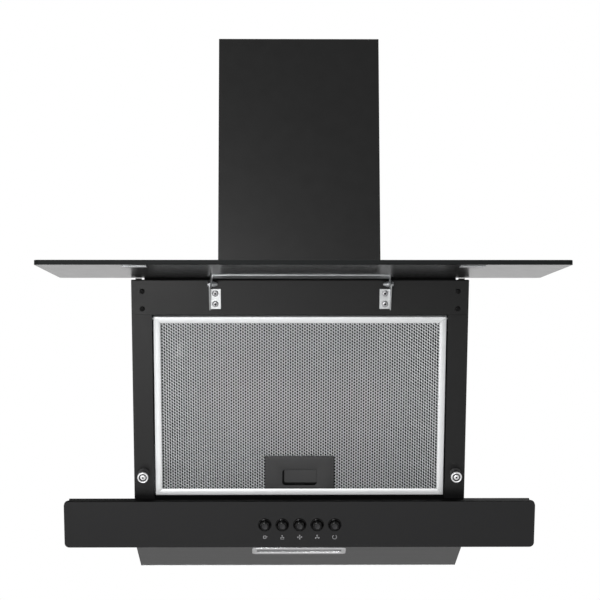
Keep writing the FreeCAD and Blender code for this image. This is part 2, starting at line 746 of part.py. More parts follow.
def chimney(label, half_width, depth, back, lip, low, high):
    """A three-sided cover, open to the wall, with its rear edges turned in."""
    body = new_body(label)
    t = size.sheet
    rear = -back
    front = -depth
    add(body, "XY_Plane", low, high - low,
        polygon((-half_width, front), (half_width, front), (half_width, rear), (half_width - lip, rear),
                (half_width - lip, rear - t), (half_width - t, rear - t), (half_width - t, front + t),
                (t - half_width, front + t), (t - half_width, rear - t), (lip - half_width, rear - t),
                (lip - half_width, rear), (-half_width, rear)))
    return body


def chimney_lower():
    half = size.chimney_width / 2
    low = size.body_height
    body = chimney("chimney_lower", half, size.chimney_depth, dim(0), dim(18), low, size.chimney_top)
    for side in (-1, 1):
        add(body, "XY_Plane", low, size.sheet,
            mirrored_rectangle(side, half - 13, -150, half - size.sheet / 2, -30))
    return body


UPPER_HALF = size.chimney_width / 2 - size.sheet - size.chimney_slack
UPPER_FRONT = size.chimney_depth - size.sheet - size.chimney_slack
UPPER_TOP = size.chimney_top - 1.5


def chimney_upper():
    return chimney("chimney_upper", UPPER_HALF, UPPER_FRONT, size.sheet + size.chimney_slack, dim(22),
                   UPPER_TOP - 290, UPPER_TOP)


def chimney_bracket():
    """The wall strip at the head of the upper cover, with its two screw slots."""
    body = new_body("chimney_bracket")
    inside = UPPER_HALF - size.sheet
    low = UPPER_TOP - 34
    back = 2 * size.sheet + size.chimney_slack
    add(body, "XZ_Plane", back, 1.5, rectangle(-inside, low, inside, low + 28))
    for side in (-1, 1):
        ear_start = inside - 1.5 if side > 0 else -inside
        add(body, "YZ_Plane", ear_start, 1.5, rectangle(-(back + 26), low, -back, low + 28))
    cut(body, "XZ_Plane", back - 1, 3.5, *[rounded_rectangle(x - 8, low + 11, x + 8, low + 17, 2.99)
                                           for x in (-50, 50)])
    return body


# ---- air outlet ----------------------------------------------------------------------

ROD_UP = 17.0
FLAP_RADIUS = 55.8
FLAP_DROP = 3.6
FLAP_THICK = 1.2


def duct_place(z=0.0):
    return place(0, -size.duct_back.value, size.body_height.value + z)


def duct_collar():
    body = new_body("duct_collar", duct_place())
    outer = size.duct_radius
    inner = outer - 2.5
    turn(body, (inner, 0), (outer + 4, 0), (outer + 4, 2), (outer, 3), (outer, size.duct_length - 1),
         (outer - 0.6, size.duct_length), (inner, size.duct_length), (inner, 12.8), (inner - 2, 12.8),
         (inner - 2, 11.6), (inner, 10.4))
    cut(body, "YZ_Plane", -(outer + 1), (outer + 1) * 2, circle(0, ROD_UP, 1.6))
    return body


def damper_rod():
    body = new_body("damper_rod", duct_place(ROD_UP))
    add(body, "YZ_Plane", -(size.duct_radius - 0.3), (size.duct_radius - 0.3) * 2, circle(0, 0, 1.5))
    return body


def half_disc(radius, chord):
    """A disc cut off along a chord at y = -chord, the part in front of it."""
    def draw(sketch):
        reach = math.sqrt(radius ** 2 - chord ** 2)
        start = math.atan2(-chord, -reach)
        end = math.atan2(-chord, reach)
        whole = Part.Circle(Vector(0, 0, 0), Vector(0, 0, 1), radius)
        arc = sketch.addGeometry(Part.ArcOfCircle(whole, start, end))
        line = sketch.addGeometry(Part.LineSegment(Vector(reach, -chord, 0), Vector(-reach, -chord, 0)))
        sketch.addConstraint(Sketcher.Constraint("Coincident", arc, 2, line, 1))
        sketch.addConstraint(Sketcher.Constraint("Coincident", line, 2, arc, 1))
        fix_point(sketch, arc, 3, dim(0), dim(0))
        sketch.addConstraint(Sketcher.Constraint("Radius", arc, radius))
        sketch.addConstraint(Sketcher.Constraint("DistanceY", -1, 1, line, 2, -chord))
        sketch.addConstraint(Sketcher.Constraint("Horizontal", line))
    return draw


def damper_flap(label, facing, knuckles):
    """A half-round flap with two knuckles on the rod; facing turns it to the front or the rear."""
    body = new_body(label, duct_place(ROD_UP) * Placement(Vector(), Rotation(Vector(0, 0, 1), facing)))
    add(body, "XY_Plane", -FLAP_DROP, FLAP_THICK, half_disc(FLAP_RADIUS, 3.5))
    for low, high in knuckles:
        add(body, "XY_Plane", -FLAP_DROP, FLAP_THICK, rectangle(low, -5, high, -1))
        add(body, "YZ_Plane", low, high - low, circle(0, 0, 3))
        cut(body, "YZ_Plane", low - 1, high - low + 2, circle(0, 0, 1.56))
    return body


# ---- blower --------------------------------------------------------------------------

SCROLL_WALL = 1.5
SCROLL_CENTRE = (-105.0, 212.0)
SCROLL_START = 72.0
SCROLL_FRONT = 77.0
SCROLL_REAR = 91.0
SCROLL_BOTTOM = SCROLL_CENTRE[1] - SCROLL_FRONT
NECK_FRONT = -125.0


def scroll_outline(inset, top):
    """The blower's side outline: three growing arcs and a straight neck up to the outlet."""
    def draw(sketch):
        cy, cz = SCROLL_CENTRE
        first_radius = SCROLL_START - inset
        front_radius = SCROLL_FRONT - inset
        rear_radius = SCROLL_REAR - inset
        neck = NECK_FRONT + inset
        tongue = math.acos((neck - cy) / first_radius)
        front_centre = (cy + SCROLL_FRONT - SCROLL_START, cz)
        rear_centre = (front_centre[0], SCROLL_BOTTOM + SCROLL_REAR)
        arcs = (((cy, cz), first_radius, tongue, math.pi),
                (front_centre, front_radius, math.pi, 1.5 * math.pi),
                (rear_centre, rear_radius, 1.5 * math.pi, 2 * math.pi))
        for centre, radius, start, end in arcs:
            whole = Part.Circle(Vector(*centre, 0), Vector(0, 0, 1), radius)
            sketch.addGeometry(Part.ArcOfCircle(whole, start, end))
        rear = rear_centre[0] + rear_radius
        corners = (Vector(rear, rear_centre[1], 0), Vector(rear, top, 0), Vector(neck, top, 0),
                   Vector(neck, cz + first_radius * math.sin(tongue), 0))
        for near, far in zip(corners, corners[1:]):
            sketch.addGeometry(Part.LineSegment(near, far))
        for i in range(6):
            sketch.addConstraint(Sketcher.Constraint("Block", i))
    return draw


def blower_shell(label, side):
    """One half of the scroll housing, with the inlet in its side."""
    body = new_body(label)
    half = size.blower_width / 2
    lid = size.body_height.value - size.sheet.value
    outer_start = dim(0) if side > 0 else -half
    inner_start = dim(0) if side > 0 else SCROLL_WALL - half
    add(body, "YZ_Plane", outer_start, half, scroll_outline(0, lid))
    cut(body, "YZ_Plane", inner_start, half - SCROLL_WALL, scroll_outline(SCROLL_WALL, lid + 2))
    wall = half - SCROLL_WALL - 1 if side > 0 else -half - 1
    cut(body, "YZ_Plane", wall, SCROLL_WALL + 2, circle(-size.impeller_back, size.impeller_height, 50))
    return body


BLADES = 24
BLADE_HALF = 44.0
CAGE_INNER = 50.0


def shaft_place():
    """The impeller's frame: its Z axis lies along X."""
    return Placement(Vector(0, -size.impeller_back.value, size.impeller_height.value),
                     Rotation(Vector(0, 1, 0), 90))


def blade_outline(inner, outer, sweep, thick):
    """A forward-curved blade seen along the shaft, as two arcs joined by short ends."""
    def point(radius, angle):
        return Vector(radius * math.cos(angle), radius * math.sin(angle), 0)

    def draw(sketch):
        middle = (inner + outer) / 2
        lead = sweep * 0.32
        low = (point(inner, 0), point(middle, lead), point(outer, sweep))
        shift = thick / middle
        high = (point(inner, shift), point(middle, lead + shift), point(outer, sweep + shift))
        sketch.addGeometry(Part.Arc(*low))
        sketch.addGeometry(Part.LineSegment(low[2], high[2]))
        sketch.addGeometry(Part.Arc(*high))
        sketch.addGeometry(Part.LineSegment(high[0], low[0]))
        for i in range(4):
            sketch.addConstraint(Sketcher.Constraint("Block", i))
    return draw


def impeller():
    """A double-inlet drum of forward-curved blades on a centre disc."""
    body = new_body("impeller", shaft_place())
    outer = size.impeller_radius
    blade = add(body, "XY_Plane", -BLADE_HALF, 2 * BLADE_HALF,
                blade_outline(CAGE_INNER, outer.value - 1, math.radians(13), 0.9))
    document.recompute()
    ring = body.newObject("PartDesign::PolarPattern", "impeller_blades")
    ring.Originals = [blade]
    ring.Axis = (blade.Profile[0], ["N_Axis"])
    ring.Angle = 360
    ring.Occurrences = BLADES
    body.Tip = ring
    add(body, "XY_Plane", -1, 2, circle(0, 0, outer - 0.5), circle(0, 0, 3))
    add(body, "XY_Plane", -7, 14, circle(0, 0, 8), circle(0, 0, 3))
    for low in (-BLADE_HALF - 0.5, BLADE_HALF - 1.5):
        add(body, "XY_Plane", low, 2, circle(0, 0, outer), circle(0, 0, CAGE_INNER + 6))
    return body


def motor_shaft():
    body = new_body("motor_shaft", shaft_place())
    turn(body, (0, -66), (2.4, -66), (3, -65.4), (3, 11.4), (2.4, 12), (0, 12))
    return body


def motor():
    """A closed motor whose shaft runs through; it sits inside the left inlet."""
    body = new_body("motor", shaft_place())
    bore = 3.08
    turn(body, (bore, -60), (16, -60), (19, -57), (36, -55), (39, -51), (39, -19), (36, -15), (12, -12),
         (10, -10), (bore, -10))
    return body


def motor_bracket():
    """A ring with three arms that carries the motor on the housing's left side."""
    body = new_body("motor_bracket", shaft_place())
    plate = -(size.blower_width / 2 + 3)
    add(body, "XY_Plane", plate, 2, circle(0, 0, 18), circle(0, 0, 6))
    add(body, "XY_Plane", plate + 2, 1, circle(0, 0, 15), circle(0, 0, 6))
    for angle in (30, 150, 270):
        turned = Rotation(Vector(0, 0, 1), angle)
        corners = []
        for x, y in ((12, -5), (60, -5), (60, 5), (12, 5)):
            corner = turned.multVec(Vector(x, y, 0))
            corners.append((corner.x, corner.y))
        add(body, "XY_Plane", plate, 2, polygon(*corners))
        foot = turned.multVec(Vector(56, 0, 0))
        add(body, "XY_Plane", plate + 2, 1, circle(foot.x, foot.y, 3.6))
    return body


# ---- electrics -----------------------------------------------------------------------

GLAND_X = -80.0
GLAND_Y = -150.0
GLAND_NECK = 6.5
BOX_LEFT = 118.0


def control_box():
    """The closed wiring box on the rear panel."""
    body = new_body("control_box")
    left, right, low, high = BOX_LEFT, BOX_LEFT + 70, 112, 204
    add(body, "XZ_Plane", size.sheet, 58, rounded_rectangle(left, low, right, high, 4))
    add(body, "XZ_Plane", size.sheet + 58, 2,
        rounded_rectangle(left - 1.5, low - 1.5, right + 1.5, high + 1.5, 5))
    return body


def run_capacitor():
    """The motor's run capacitor on its foot beside the wiring box."""
    body = new_body("run_capacitor", place(BOX_LEFT - 21, -21, 122))
    turn(body, (0, 0), (13, 0), (14, 1), (14, 54), (12.5, 56), (5, 56), (4, 59), (0, 59))
    add(body, "XY_Plane", 10, 14, rectangle(-7, 10, 7, 21 - size.sheet))
    return body


def cable_gland():
    """The mains inlet in the top panel, with a bore for the cable."""
    body = new_body("cable_gland", place(GLAND_X, GLAND_Y, size.body_height.value))
    turn(body, (3.8, -9), (GLAND_NECK, -9), (GLAND_NECK, 0), (9.5, 0), (9.5, 4), (7.5, 5.5), (6.5, 12),
         (5.6, 13.2), (3.8, 13.2))
    return body


# ---- lamp ----------------------------------------------------------------------------

def lamp_bezel():
    """The bright frame round the lamp, with a skirt up through the panel."""
    body = new_body("lamp_bezel", UNDER)
    mid, long, wide = size.lamp_along, size.lamp_half_long, size.lamp_half_wide
    add(body, "XY_Plane", -1.4, 1.4, rounded_rectangle(-long, mid - wide, long, mid + wide, 6),
        rounded_rectangle(-long + 6.5, mid - wide + 8.4, long - 6.5, mid + wide - 8.4, 2))
    bevel(body, 1, lambda edge, middle: abs(middle.z + 1.4) < 0.01
          and (abs(middle.y - mid.value) > wide.value - 3 or abs(middle.x) > long.value - 3))
    add(body, "XY_Plane", -0.4, 6.4, rectangle(-56.6, mid - 12, 56.6, mid + 12),
        rectangle(-55.4, mid - 10.8, 55.4, mid + 10.8))
    return body


def lamp_lens():
    body = new_body("lamp_lens", UNDER)
    mid = size.lamp_along
    add(body, "XY_Plane", 0, 2, rectangle(-55.2, mid - 10.6, 55.2, mid + 10.6))
    return body


def lamp_board():
    """The strip of light-emitting diodes above the lens."""
    body = new_body("lamp_board", UNDER)
    mid = size.lamp_along
    add(body, "XY_Plane", 8, 1.6, rectangle(-53, mid - 8.5, 53, mid + 8.5))
    chips = [rectangle(x - 2, mid - 2, x + 2, mid + 2) for x in (-45, -27, -9, 9, 27, 45)]
    add(body, "XY_Plane", 7, 1, *chips)
    return body


def lamp_housing():
    """The lamp's tray, upside down on the panel."""
    body = new_body("lamp_housing", UNDER)
    mid = size.lamp_along
    add(body, "XY_Plane", size.sheet, 9.8, rounded_rectangle(-62, mid - 17, 62, mid + 17, 4),
        rectangle(-57.4, mid - 12.8, 57.4, mid + 12.8))
    add(body, "XY_Plane", size.sheet + 8.4, 1.4, rectangle(-58, mid - 13, 58, mid + 13))
    return body


# ---- assembly ------------------------------------------------------------------------

side_panel("side_panel_left", -1)
side_panel("side_panel_right", 1)
top_rail()
front_apron()
top_panel()
rear_panel()
underside_panel()
rail_screws()
stop_buffers()
control_glass()
control_carrier()
button_bezels()
for button_label, button_x in zip(BUTTONS, BUTTON_XS):
    button(button_label, button_x)
switch_block()
catch_post("catch_post_left", -1)
catch_post("catch_post_right", 1)
catch_parts("catch_cups", (CATCH_FACE - 4, CATCH_FACE - 2.6, CUP_RADIUS, 0),
            (CATCH_FACE - 2.6, CATCH_FACE, CUP_RADIUS, CUP_RADIUS - CUP_WALL))
catch_parts("catch_magnets", (CATCH_FACE - 2.6, CATCH_FACE - 0.8, CUP_RADIUS - CUP_WALL, CATCH_SCREW))
catch_parts("catch_screws", (CATCH_FACE - 2.6, CATCH_FACE - 1.2, CATCH_SCREW, 0),
            (CATCH_FACE - 1.2, CATCH_FACE - 0.2, CATCH_SCREW, 1.5))
hinge_bracket("hinge_bracket_left", -1)
hinge_bracket("hinge_bracket_right", 1)
hinge_screws()
hinge_pin("hinge_pin_left", -1)
hinge_pin("hinge_pin_right", 1)
pin_caps()
glass_carrier()
glass_panel()
strike_plates()
filter_frame()
filter_mesh()
filter_handle()
filter_latch()
filter_clips()
chimney_lower()
chimney_upper()
chimney_bracket()
duct_collar()
damper_rod()
damper_flap("damper_flap_front", 0, ((-42, -22), (8, 28)))
damper_flap("damper_flap_rear", 180, ((-48, -29), (-7, 21)))
blower_shell("blower_shell_left", -1)
blower_shell("blower_shell_right", 1)
impeller()
motor_shaft()
motor()
motor_bracket()
control_box()
run_capacitor()
cable_gland()
lamp_bezel()
lamp_lens()
lamp_board()
lamp_housing()

document.recompute()
for item in document.Objects:
    if "Invalid" in item.State or "Error" in item.State:
        raise ValueError("%s failed: %s" % (item.Label, item.State))

os.makedirs("parts", exist_ok=True)
for item in document.Objects:
    if item.TypeId == "PartDesign::Body":
        if item.Shape.isNull() or not item.Shape.isValid():
            raise ValueError("%s has no valid shape" % item.Label)
        item.Shape.exportStep("parts/%s.step" % item.Label)
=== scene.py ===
import math

import bmesh
import bpy
from bpy.props import FloatProperty, FloatVectorProperty, PointerProperty
from mathutils import Matrix, Vector


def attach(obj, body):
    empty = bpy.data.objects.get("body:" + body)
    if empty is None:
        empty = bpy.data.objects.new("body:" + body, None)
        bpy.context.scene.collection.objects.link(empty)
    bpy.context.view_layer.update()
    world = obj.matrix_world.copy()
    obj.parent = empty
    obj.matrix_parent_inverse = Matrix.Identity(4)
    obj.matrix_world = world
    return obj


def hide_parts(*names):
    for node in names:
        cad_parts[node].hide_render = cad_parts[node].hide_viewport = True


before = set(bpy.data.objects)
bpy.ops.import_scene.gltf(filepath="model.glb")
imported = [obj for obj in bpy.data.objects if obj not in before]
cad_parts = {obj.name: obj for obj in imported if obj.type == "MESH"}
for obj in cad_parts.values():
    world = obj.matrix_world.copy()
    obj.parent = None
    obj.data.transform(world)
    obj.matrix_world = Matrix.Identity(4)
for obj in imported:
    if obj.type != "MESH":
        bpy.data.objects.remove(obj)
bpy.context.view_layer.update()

bl_info = {
    "name": "Slanted Chimney Hood",
    "version": (1, 0, 0),
    "blender": (4, 5, 0),
    "location": "3D View > Sidebar > Hood",
    "description": "Dresses the packed hood with its finishes, mesh, marks and small parts",
    "category": "Object",
}

MILLIMETRES = Matrix.Diagonal((0.001, 0.001, 0.001, 1))

# The body's front leans out towards the top. A point on it is given across (x), up the slope
# (s) and outwards (w), in millimetres.
SLANT = 23
FACE = (Matrix.Translation((0, -0.1495, 0.0848))
        @ Matrix.Rotation(math.radians(90 + SLANT), 4, "X"))

# The same front as the swung-up glass carries it.
HINGE_UP, HINGE_OUT = 279.9, 11.25
SWING = 106.0
OPEN_FACE = (FACE @ Matrix.Translation((0, HINGE_UP / 1000, HINGE_OUT / 1000))
             @ Matrix.Rotation(math.radians(-SWING), 4, "X")
             @ Matrix.Translation((0, -HINGE_UP / 1000, -HINGE_OUT / 1000)))

# The sloping bottom sheet, from its front edge back.
UNDERSIDE = (Matrix.Translation((0, -0.123946, 0.024599))
             @ Matrix.Rotation(math.radians(-11.2257), 4, "X"))

# Places on the front and sizes that several pieces share.
GLASS_HALF, GLASS_CORNER, GLASS_ARRIS = 300, 6, 0.35
GLASS_BACK, GLASS_FRONT = 19.5, 25.0
PANEL_LOW, PANEL_HIGH = 3, 288
STRIP_LOW, STRIP_HIGH = -62.5, -0.7
MARK_FRONT = 25.06
MARK_LEVELS = (GLASS_FRONT, MARK_FRONT)
MARK_EDGE = ((0, GLASS_FRONT), (0, MARK_FRONT))
BUTTON_XS = (-44.6, -22.3, 0.0, 22.3, 44.6)
BUTTON_ROW, BUTTON_HOLE, MARK_ROW = -32.1, 7.4, -48.6
BUTTONS = ("button_lamp", "button_speed_1", "button_speed_2", "button_speed_3", "button_off")
CATCH_SIDE, CATCH_UP, CATCH_SEAT = 199.5, 28.5, 16.5
FILTER_HALF, FILTER_LOW, FILTER_HIGH = 184.3, -0.7, 235.2
BOLT_HALF, BOLT_LOW, BOLT_HIGH = 6.5, -5.5, -2.9

# Each screw's place across and up the front, and its turn in degrees. The hinge screws sit on
# the hinge plates.
RAIL_SCREWS = ((-198, 245.5, 20), (-198, 268.1, 65), (198, 245.5, 40), (198, 268.1, 5))
HINGE_SCREWS = ((-106.3, 252.1, 10), (-106.3, 265.8, 50), (106.3, 252.1, 75),
                (106.3, 265.8, 30))
HINGE_PLATE = 1.5

# Each lamp's place and width in metres, and its share of the key power.
LAMPS = (("front", (-0.4, -2.75, 0.25), 0.8, 1.05),
         ("high", (-0.7, -2.7, 0.6), 0.8, 0.65),
         ("low", (-0.5, -2.0, -0.8), 0.6, 0.28),
         ("side", (-1.9, -1.0, -0.2), 0.9, 0.24),
         ("spark", (-1.2, -1.3, 1.15), 0.08, 0.03),
         ("top", (0.0, -0.5, 2.0), 1.2, 0.9),
         ("back", (0.6, 1.4, 1.6), 1.4, 0.5))
LAMP_AIM = (0, -0.2, 0.3)

# The camera's place in metres, its angles in degrees, its focal length and the picture's width
# in pixels, and the sensor's width in millimetres.
CAMERA_PLACE = (-0.03614, -2.7820, -0.0947)
CAMERA_PITCH, CAMERA_YAW, CAMERA_ROLL = 9.329, 0.812, -0.133
CAMERA_FOCUS, PICTURE_WIDTH, SENSOR_WIDTH = 2046.95, 600, 36

# Each finish's colour, or the name of its colour setting, its roughness, and the other values of
# new_finish that differ from the usual ones.
FINISHES = {
    "satin black enamel": ("enamel", 0.34, dict(spread=0.05, bump=0.04, fine=1400, gloss=0.28)),
    "duct cover enamel": ("enamel", 0.30, dict(spread=0.04, bump=0.04, fine=1400, gloss=0.14)),
    # A darker, duller copy of the enamel: painted shade on the apron under the filter, the top
    # sheet and the control carrier.
    "dull black enamel": ((0.0025, 0.0025, 0.0025), 0.6,
                          dict(spread=0.05, bump=0.04, fine=1400, gloss=0.03)),
    "brushed black underside": ((0.045, 0.045, 0.045), 0.36,
                                dict(spread=0.08, tint=0.25, grain=(6, 500, 500), bump=0.04,
                                     fine=1400)),
    "black glass": ("glass", 0.05, dict(spread=0.02, grain=(6, 6, 6), bump=0.0, gloss=0.35)),
    "printed back of the glass": ((0.001, 0.001, 0.001), 0.24,
                                  dict(spread=0.04, bump=0.0, gloss=0.26)),
    "ground glass edge": ((0.008, 0.009, 0.009), 0.5, dict(bump=0.1, fine=3000, gloss=0.05)),
    # Below, darker and lighter copies of the ground edge: painted shade on the control strip's
    # upper and side edges, painted light on its lower edge.
    "ground edge in shade": ((0.0015, 0.0015, 0.0015), 0.6,
                             dict(bump=0.1, fine=3000, gloss=0.02)),
    "ground lower edge": ((0.07, 0.072, 0.072), 0.5, dict(bump=0.1, fine=3000, gloss=0.1)),
    # A darker copy of the black plastic: painted shade in the handle's tray, its bolt way and
    # groove, and on the hidden tongue.
    "inner black plastic": ((0.004, 0.004, 0.004), 0.6, dict(bump=0.1, gloss=0.1)),
    "matte black plastic": ("plastic", 0.5, dict(bump=0.15, fine=2200, gloss=0.35)),
    "glossy black plastic": ("button", 0.12, dict(spread=0.03, bump=0.0, gloss=0.2)),
    # A lighter, rougher grey on the button's dish: a painted reflection of the surroundings.
    "dished button face": ((0.024, 0.024, 0.025), 0.4, dict(spread=0.03, gloss=0.2)),
    "bright zinc": ("zinc", 0.36,
                    dict(metallic=1.0, tint=0.16, grain=(220, 220, 220), bump=0.06)),
    "carrier steel": ((0.42, 0.43, 0.44), 0.34,
                      dict(metallic=1.0, tint=0.10, grain=(20, 300, 300))),
    "galvanised sheet": ((0.52, 0.53, 0.54), 0.42,
                         dict(metallic=1.0, tint=0.2, grain=(45, 45, 45))),
    "filter aluminium": ("aluminium", 0.42,
                         dict(metallic=0.3, tint=0.03, grain=(20, 300, 300))),
    # A lighter copy of the filter aluminium: painted light on the lower bar, which the control
    # strip shades.
    "filter aluminium below": ((0.88, 0.89, 0.895), 0.42,
                               dict(metallic=0.3, tint=0.03, grain=(20, 300, 300))),
    "mesh aluminium": ((0.74, 0.75, 0.76), 0.38,
                       dict(metallic=1.0, tint=0.08, grain=(140, 140, 140), bump=0.0)),
    # A dark copy of the mesh aluminium: painted shade on the sheets behind the front one.
    "inner mesh": ((0.04, 0.04, 0.04), 0.45,
                   dict(metallic=1.0, tint=0.3, grain=(140, 140, 140), bump=0.0)),
    "polished chrome": ((0.86, 0.86, 0.87), 0.22, dict(metallic=1.0, tint=0.02, bump=0.0)),
    "satin steel": ((0.78, 0.78, 0.79), 0.36, dict(metallic=0.6, tint=0.03, bump=0.03)),
    "shaded screw recess": ((0.01, 0.01, 0.01), 0.6, dict(bump=0.0, gloss=0.1)),
    "screw steel": ((0.42, 0.42, 0.43), 0.34, dict(metallic=1.0, tint=0.05, bump=0.03)),
    "blackened screw": ((0.003, 0.003, 0.003), 0.36, dict(gloss=0.15)),
    "black rubber": ((0.01, 0.01, 0.01), 0.7, dict(bump=0.2)),
    "magnet grey": ((0.02, 0.02, 0.021), 0.45, dict(gloss=0.3)),
    "grey plastic": ((0.30, 0.31, 0.32), 0.5, dict(bump=0.1)),
    "white plastic": ((0.75, 0.75, 0.74), 0.45, {}),
    "frosted lens": ((0.13, 0.132, 0.135), 0.35, dict(grain=(300, 300, 300), bump=0.1)),
    "printed mark": ("marks", 0.6, dict(bump=0.0)),
    "pale floor": ("floor", 0.7, dict(tint=0.01, bump=0.0)),
}


# ---- settings ------------------------------------------------------------------------

def colour_setting(name, description, default):
    return FloatVectorProperty(name=name, description=description, default=default, size=3,
                               subtype="COLOR", min=0.0, max=1.0)


def length_setting(name, description, default, smallest):
    return FloatProperty(name=name, description=description, default=default, min=smallest,
                         unit="LENGTH", subtype="DISTANCE")


class HoodColours(bpy.types.PropertyGroup):
    """Colours of the hood's finishes."""
    enamel: colour_setting("Enamel", "Satin black on the body and the duct covers",
                           (0.004, 0.004, 0.004))
    glass: colour_setting("Glass", "Black toughened glass", (0.004, 0.004, 0.0045))
    plastic: colour_setting("Plastic", "Matte black plastic of the handle and catches",
                            (0.024, 0.024, 0.0245))
    button: colour_setting("Buttons", "Glossy black of the buttons and their rings",
                           (0.002, 0.002, 0.002))
    aluminium: colour_setting("Aluminium", "Grease filter", (0.70, 0.71, 0.715))
    zinc: colour_setting("Zinc", "Hinge plates and motor", (0.50, 0.51, 0.515))
    marks: colour_setting("Marks", "Printed marks under the buttons", (0.20, 0.20, 0.205))
    floor: colour_setting("Floor", "Plain floor", (0.80, 0.80, 0.80))


class HoodSizes(bpy.types.PropertyGroup):
    """Sizes of the filter's mesh."""
    cell_across: length_setting("Cell width", "Width of a diamond in the filter mesh",
                                0.006, 0.003)
    cell_up: length_setting("Cell height", "Height of a diamond in the filter mesh",
                            0.004, 0.002)
    strand: length_setting("Strand", "Width of a strand of the filter mesh", 0.00095, 0.0003)
    bond: length_setting("Bond", "Half length of the joint between strands of the filter mesh",
                         0.0016, 0.0003)


class HoodStage(bpy.types.PropertyGroup):
    """Floor and light."""
    floor_level: FloatProperty(name="Floor level",
                               description="Height of the floor, measured from the hood's foot",
                               default=-0.9, unit="LENGTH", subtype="DISTANCE")
    key: FloatProperty(name="Key light", description="Power that the lamps' shares are taken of",
                       default=26.0, min=0.0, unit="POWER")
    surround: FloatProperty(name="Surround",
                            description="Strength of the even light from all round",
                            default=0.25, min=0.0, subtype="FACTOR")


# ---- finishes ------------------------------------------------------------------------

def new_node(owner, kind, **inputs):
    """A shader node of a material or world, with some of its inputs set."""
    made = owner.node_tree.nodes.new(kind)
    for name, value in inputs.items():
        made.inputs[name.replace("_", " ")].default_value = value
    return made


def link(owner, source, target):
    owner.node_tree.links.new(source, target)


def new_finish(name, colour, roughness, metallic=0.0, spread=0.06, tint=0.12,
               grain=(60.0, 60.0, 60.0), bump=0.05, fine=900.0, gloss=0.5):
    """A material whose colour and roughness vary a little over the surface, with a fine bump.

    tint and spread are the shares by which colour and roughness vary, grain is the scale of
    that variation along each axis, and fine is the scale of the bump.
    """
    material = bpy.data.materials.new(name)
    material.use_nodes = True
    surface = material.node_tree.nodes["Principled BSDF"]
    surface.inputs["Metallic"].default_value = metallic
    surface.inputs["Specular IOR Level"].default_value = gloss
    place = new_node(material, "ShaderNodeTexCoord")
    stretch = new_node(material, "ShaderNodeMapping", Scale=grain)
    link(material, place.outputs["Object"], stretch.inputs["Vector"])
    cloud = new_node(material, "ShaderNodeTexNoise", Scale=1.0, Detail=4.0, Roughness=0.6)
    link(material, stretch.outputs["Vector"], cloud.inputs["Vector"])
    shade = new_node(material, "ShaderNodeMixRGB",
                     Color1=(*[c * (1 - tint) for c in colour], 1),
                     Color2=(*[min(1, c * (1 + tint)) for c in colour], 1))
    link(material, cloud.outputs["Fac"], shade.inputs["Fac"])
    link(material, shade.outputs["Color"], surface.inputs["Base Color"])
    wear = new_node(material, "ShaderNodeMapRange", To_Min=max(0.0, roughness - spread),
                    To_Max=min(1.0, roughness + spread))
    link(material, cloud.outputs["Fac"], wear.inputs["Value"])
    link(material, wear.outputs["Result"], surface.inputs["Roughness"])
    if bump:
        texture = new_node(material, "ShaderNodeTexNoise", Scale=fine, Detail=2.0)
        link(material, place.outputs["Object"], texture.inputs["Vector"])
        relief = new_node(material, "ShaderNodeBump", Strength=bump, Distance=0.0003)
        link(material, texture.outputs["Fac"], relief.inputs["Height"])
        link(material, relief.outputs["Normal"], surface.inputs["Normal"])
    return material


def finish(name):
    """The material of that finish, made when it is first asked for."""
    if name in bpy.data.materials:
        return bpy.data.materials[name]
    colour, roughness, values = FINISHES[name]
    if isinstance(colour, str):
        colour = getattr(bpy.context.scene.hood_colours, colour)
    return new_finish(name, colour, roughness, **values)


def soften(thing, width):
    """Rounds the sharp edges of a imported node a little; width is in millimetres."""
    joined = thing.modifiers.new("joined", "WELD")
    joined.merge_threshold = 0.00001
    flat = thing.modifiers.new("flat", "DECIMATE")
    flat.decimate_type = "DISSOLVE"
    flat.angle_limit = math.radians(0.3)
    edge = thing.modifiers.new("edge", "BEVEL")
    edge.width = width / 1000
    edge.segments = 2
    edge.limit_method = "ANGLE"
    edge.angle_limit = math.radians(40)
    shading = thing.modifiers.new("shading", "WEIGHTED_NORMAL")
    shading.weight = 100


def dress(finish_name, *nodes, edge=0.0):
    """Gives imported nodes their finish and, where edge is above zero, rounds their edges."""
    for node in nodes:
        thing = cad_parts[node]
        thing.data.materials.clear()
        thing.data.materials.append(finish(finish_name))
        if edge:
            soften(thing, edge)


# ---- shapes --------------------------------------------------------------------------

def new_piece(name, mesh, body, slot_name, *replaced):
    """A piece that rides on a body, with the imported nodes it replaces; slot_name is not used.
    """
    thing = bpy.data.objects.new(name, mesh)
    bpy.context.scene.collection.objects.link(thing)
    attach(thing, body)
    if replaced:
        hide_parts(*replaced)
    return thing


def mesh_of(name, shape, materials):
    """The drawn shape as a mesh; the shape is freed."""
    made = bpy.data.meshes.new(name)
    shape.to_mesh(made)
    shape.free()
    for material in materials:
        made.materials.append(material)
    return made


def mesh_from(name, build, place, *finishes, smooth=0):
    """A mesh drawn in millimetres and put in place.

    Edges that turn by less than the smooth angle, in degrees, are shaded over.
    """
    shape = bmesh.new()
    build(shape)
    bmesh.ops.recalc_face_normals(shape, faces=shape.faces)
    shape.transform(place @ MILLIMETRES)
    if smooth:
        limit = math.radians(smooth)
        for face in shape.faces:
            face.smooth = True
        for edge in shape.edges:
            edge.smooth = len(edge.link_faces) == 2 and edge.calc_face_angle(0) < limit
    return mesh_of(name, shape, [finish(entry) for entry in finishes])


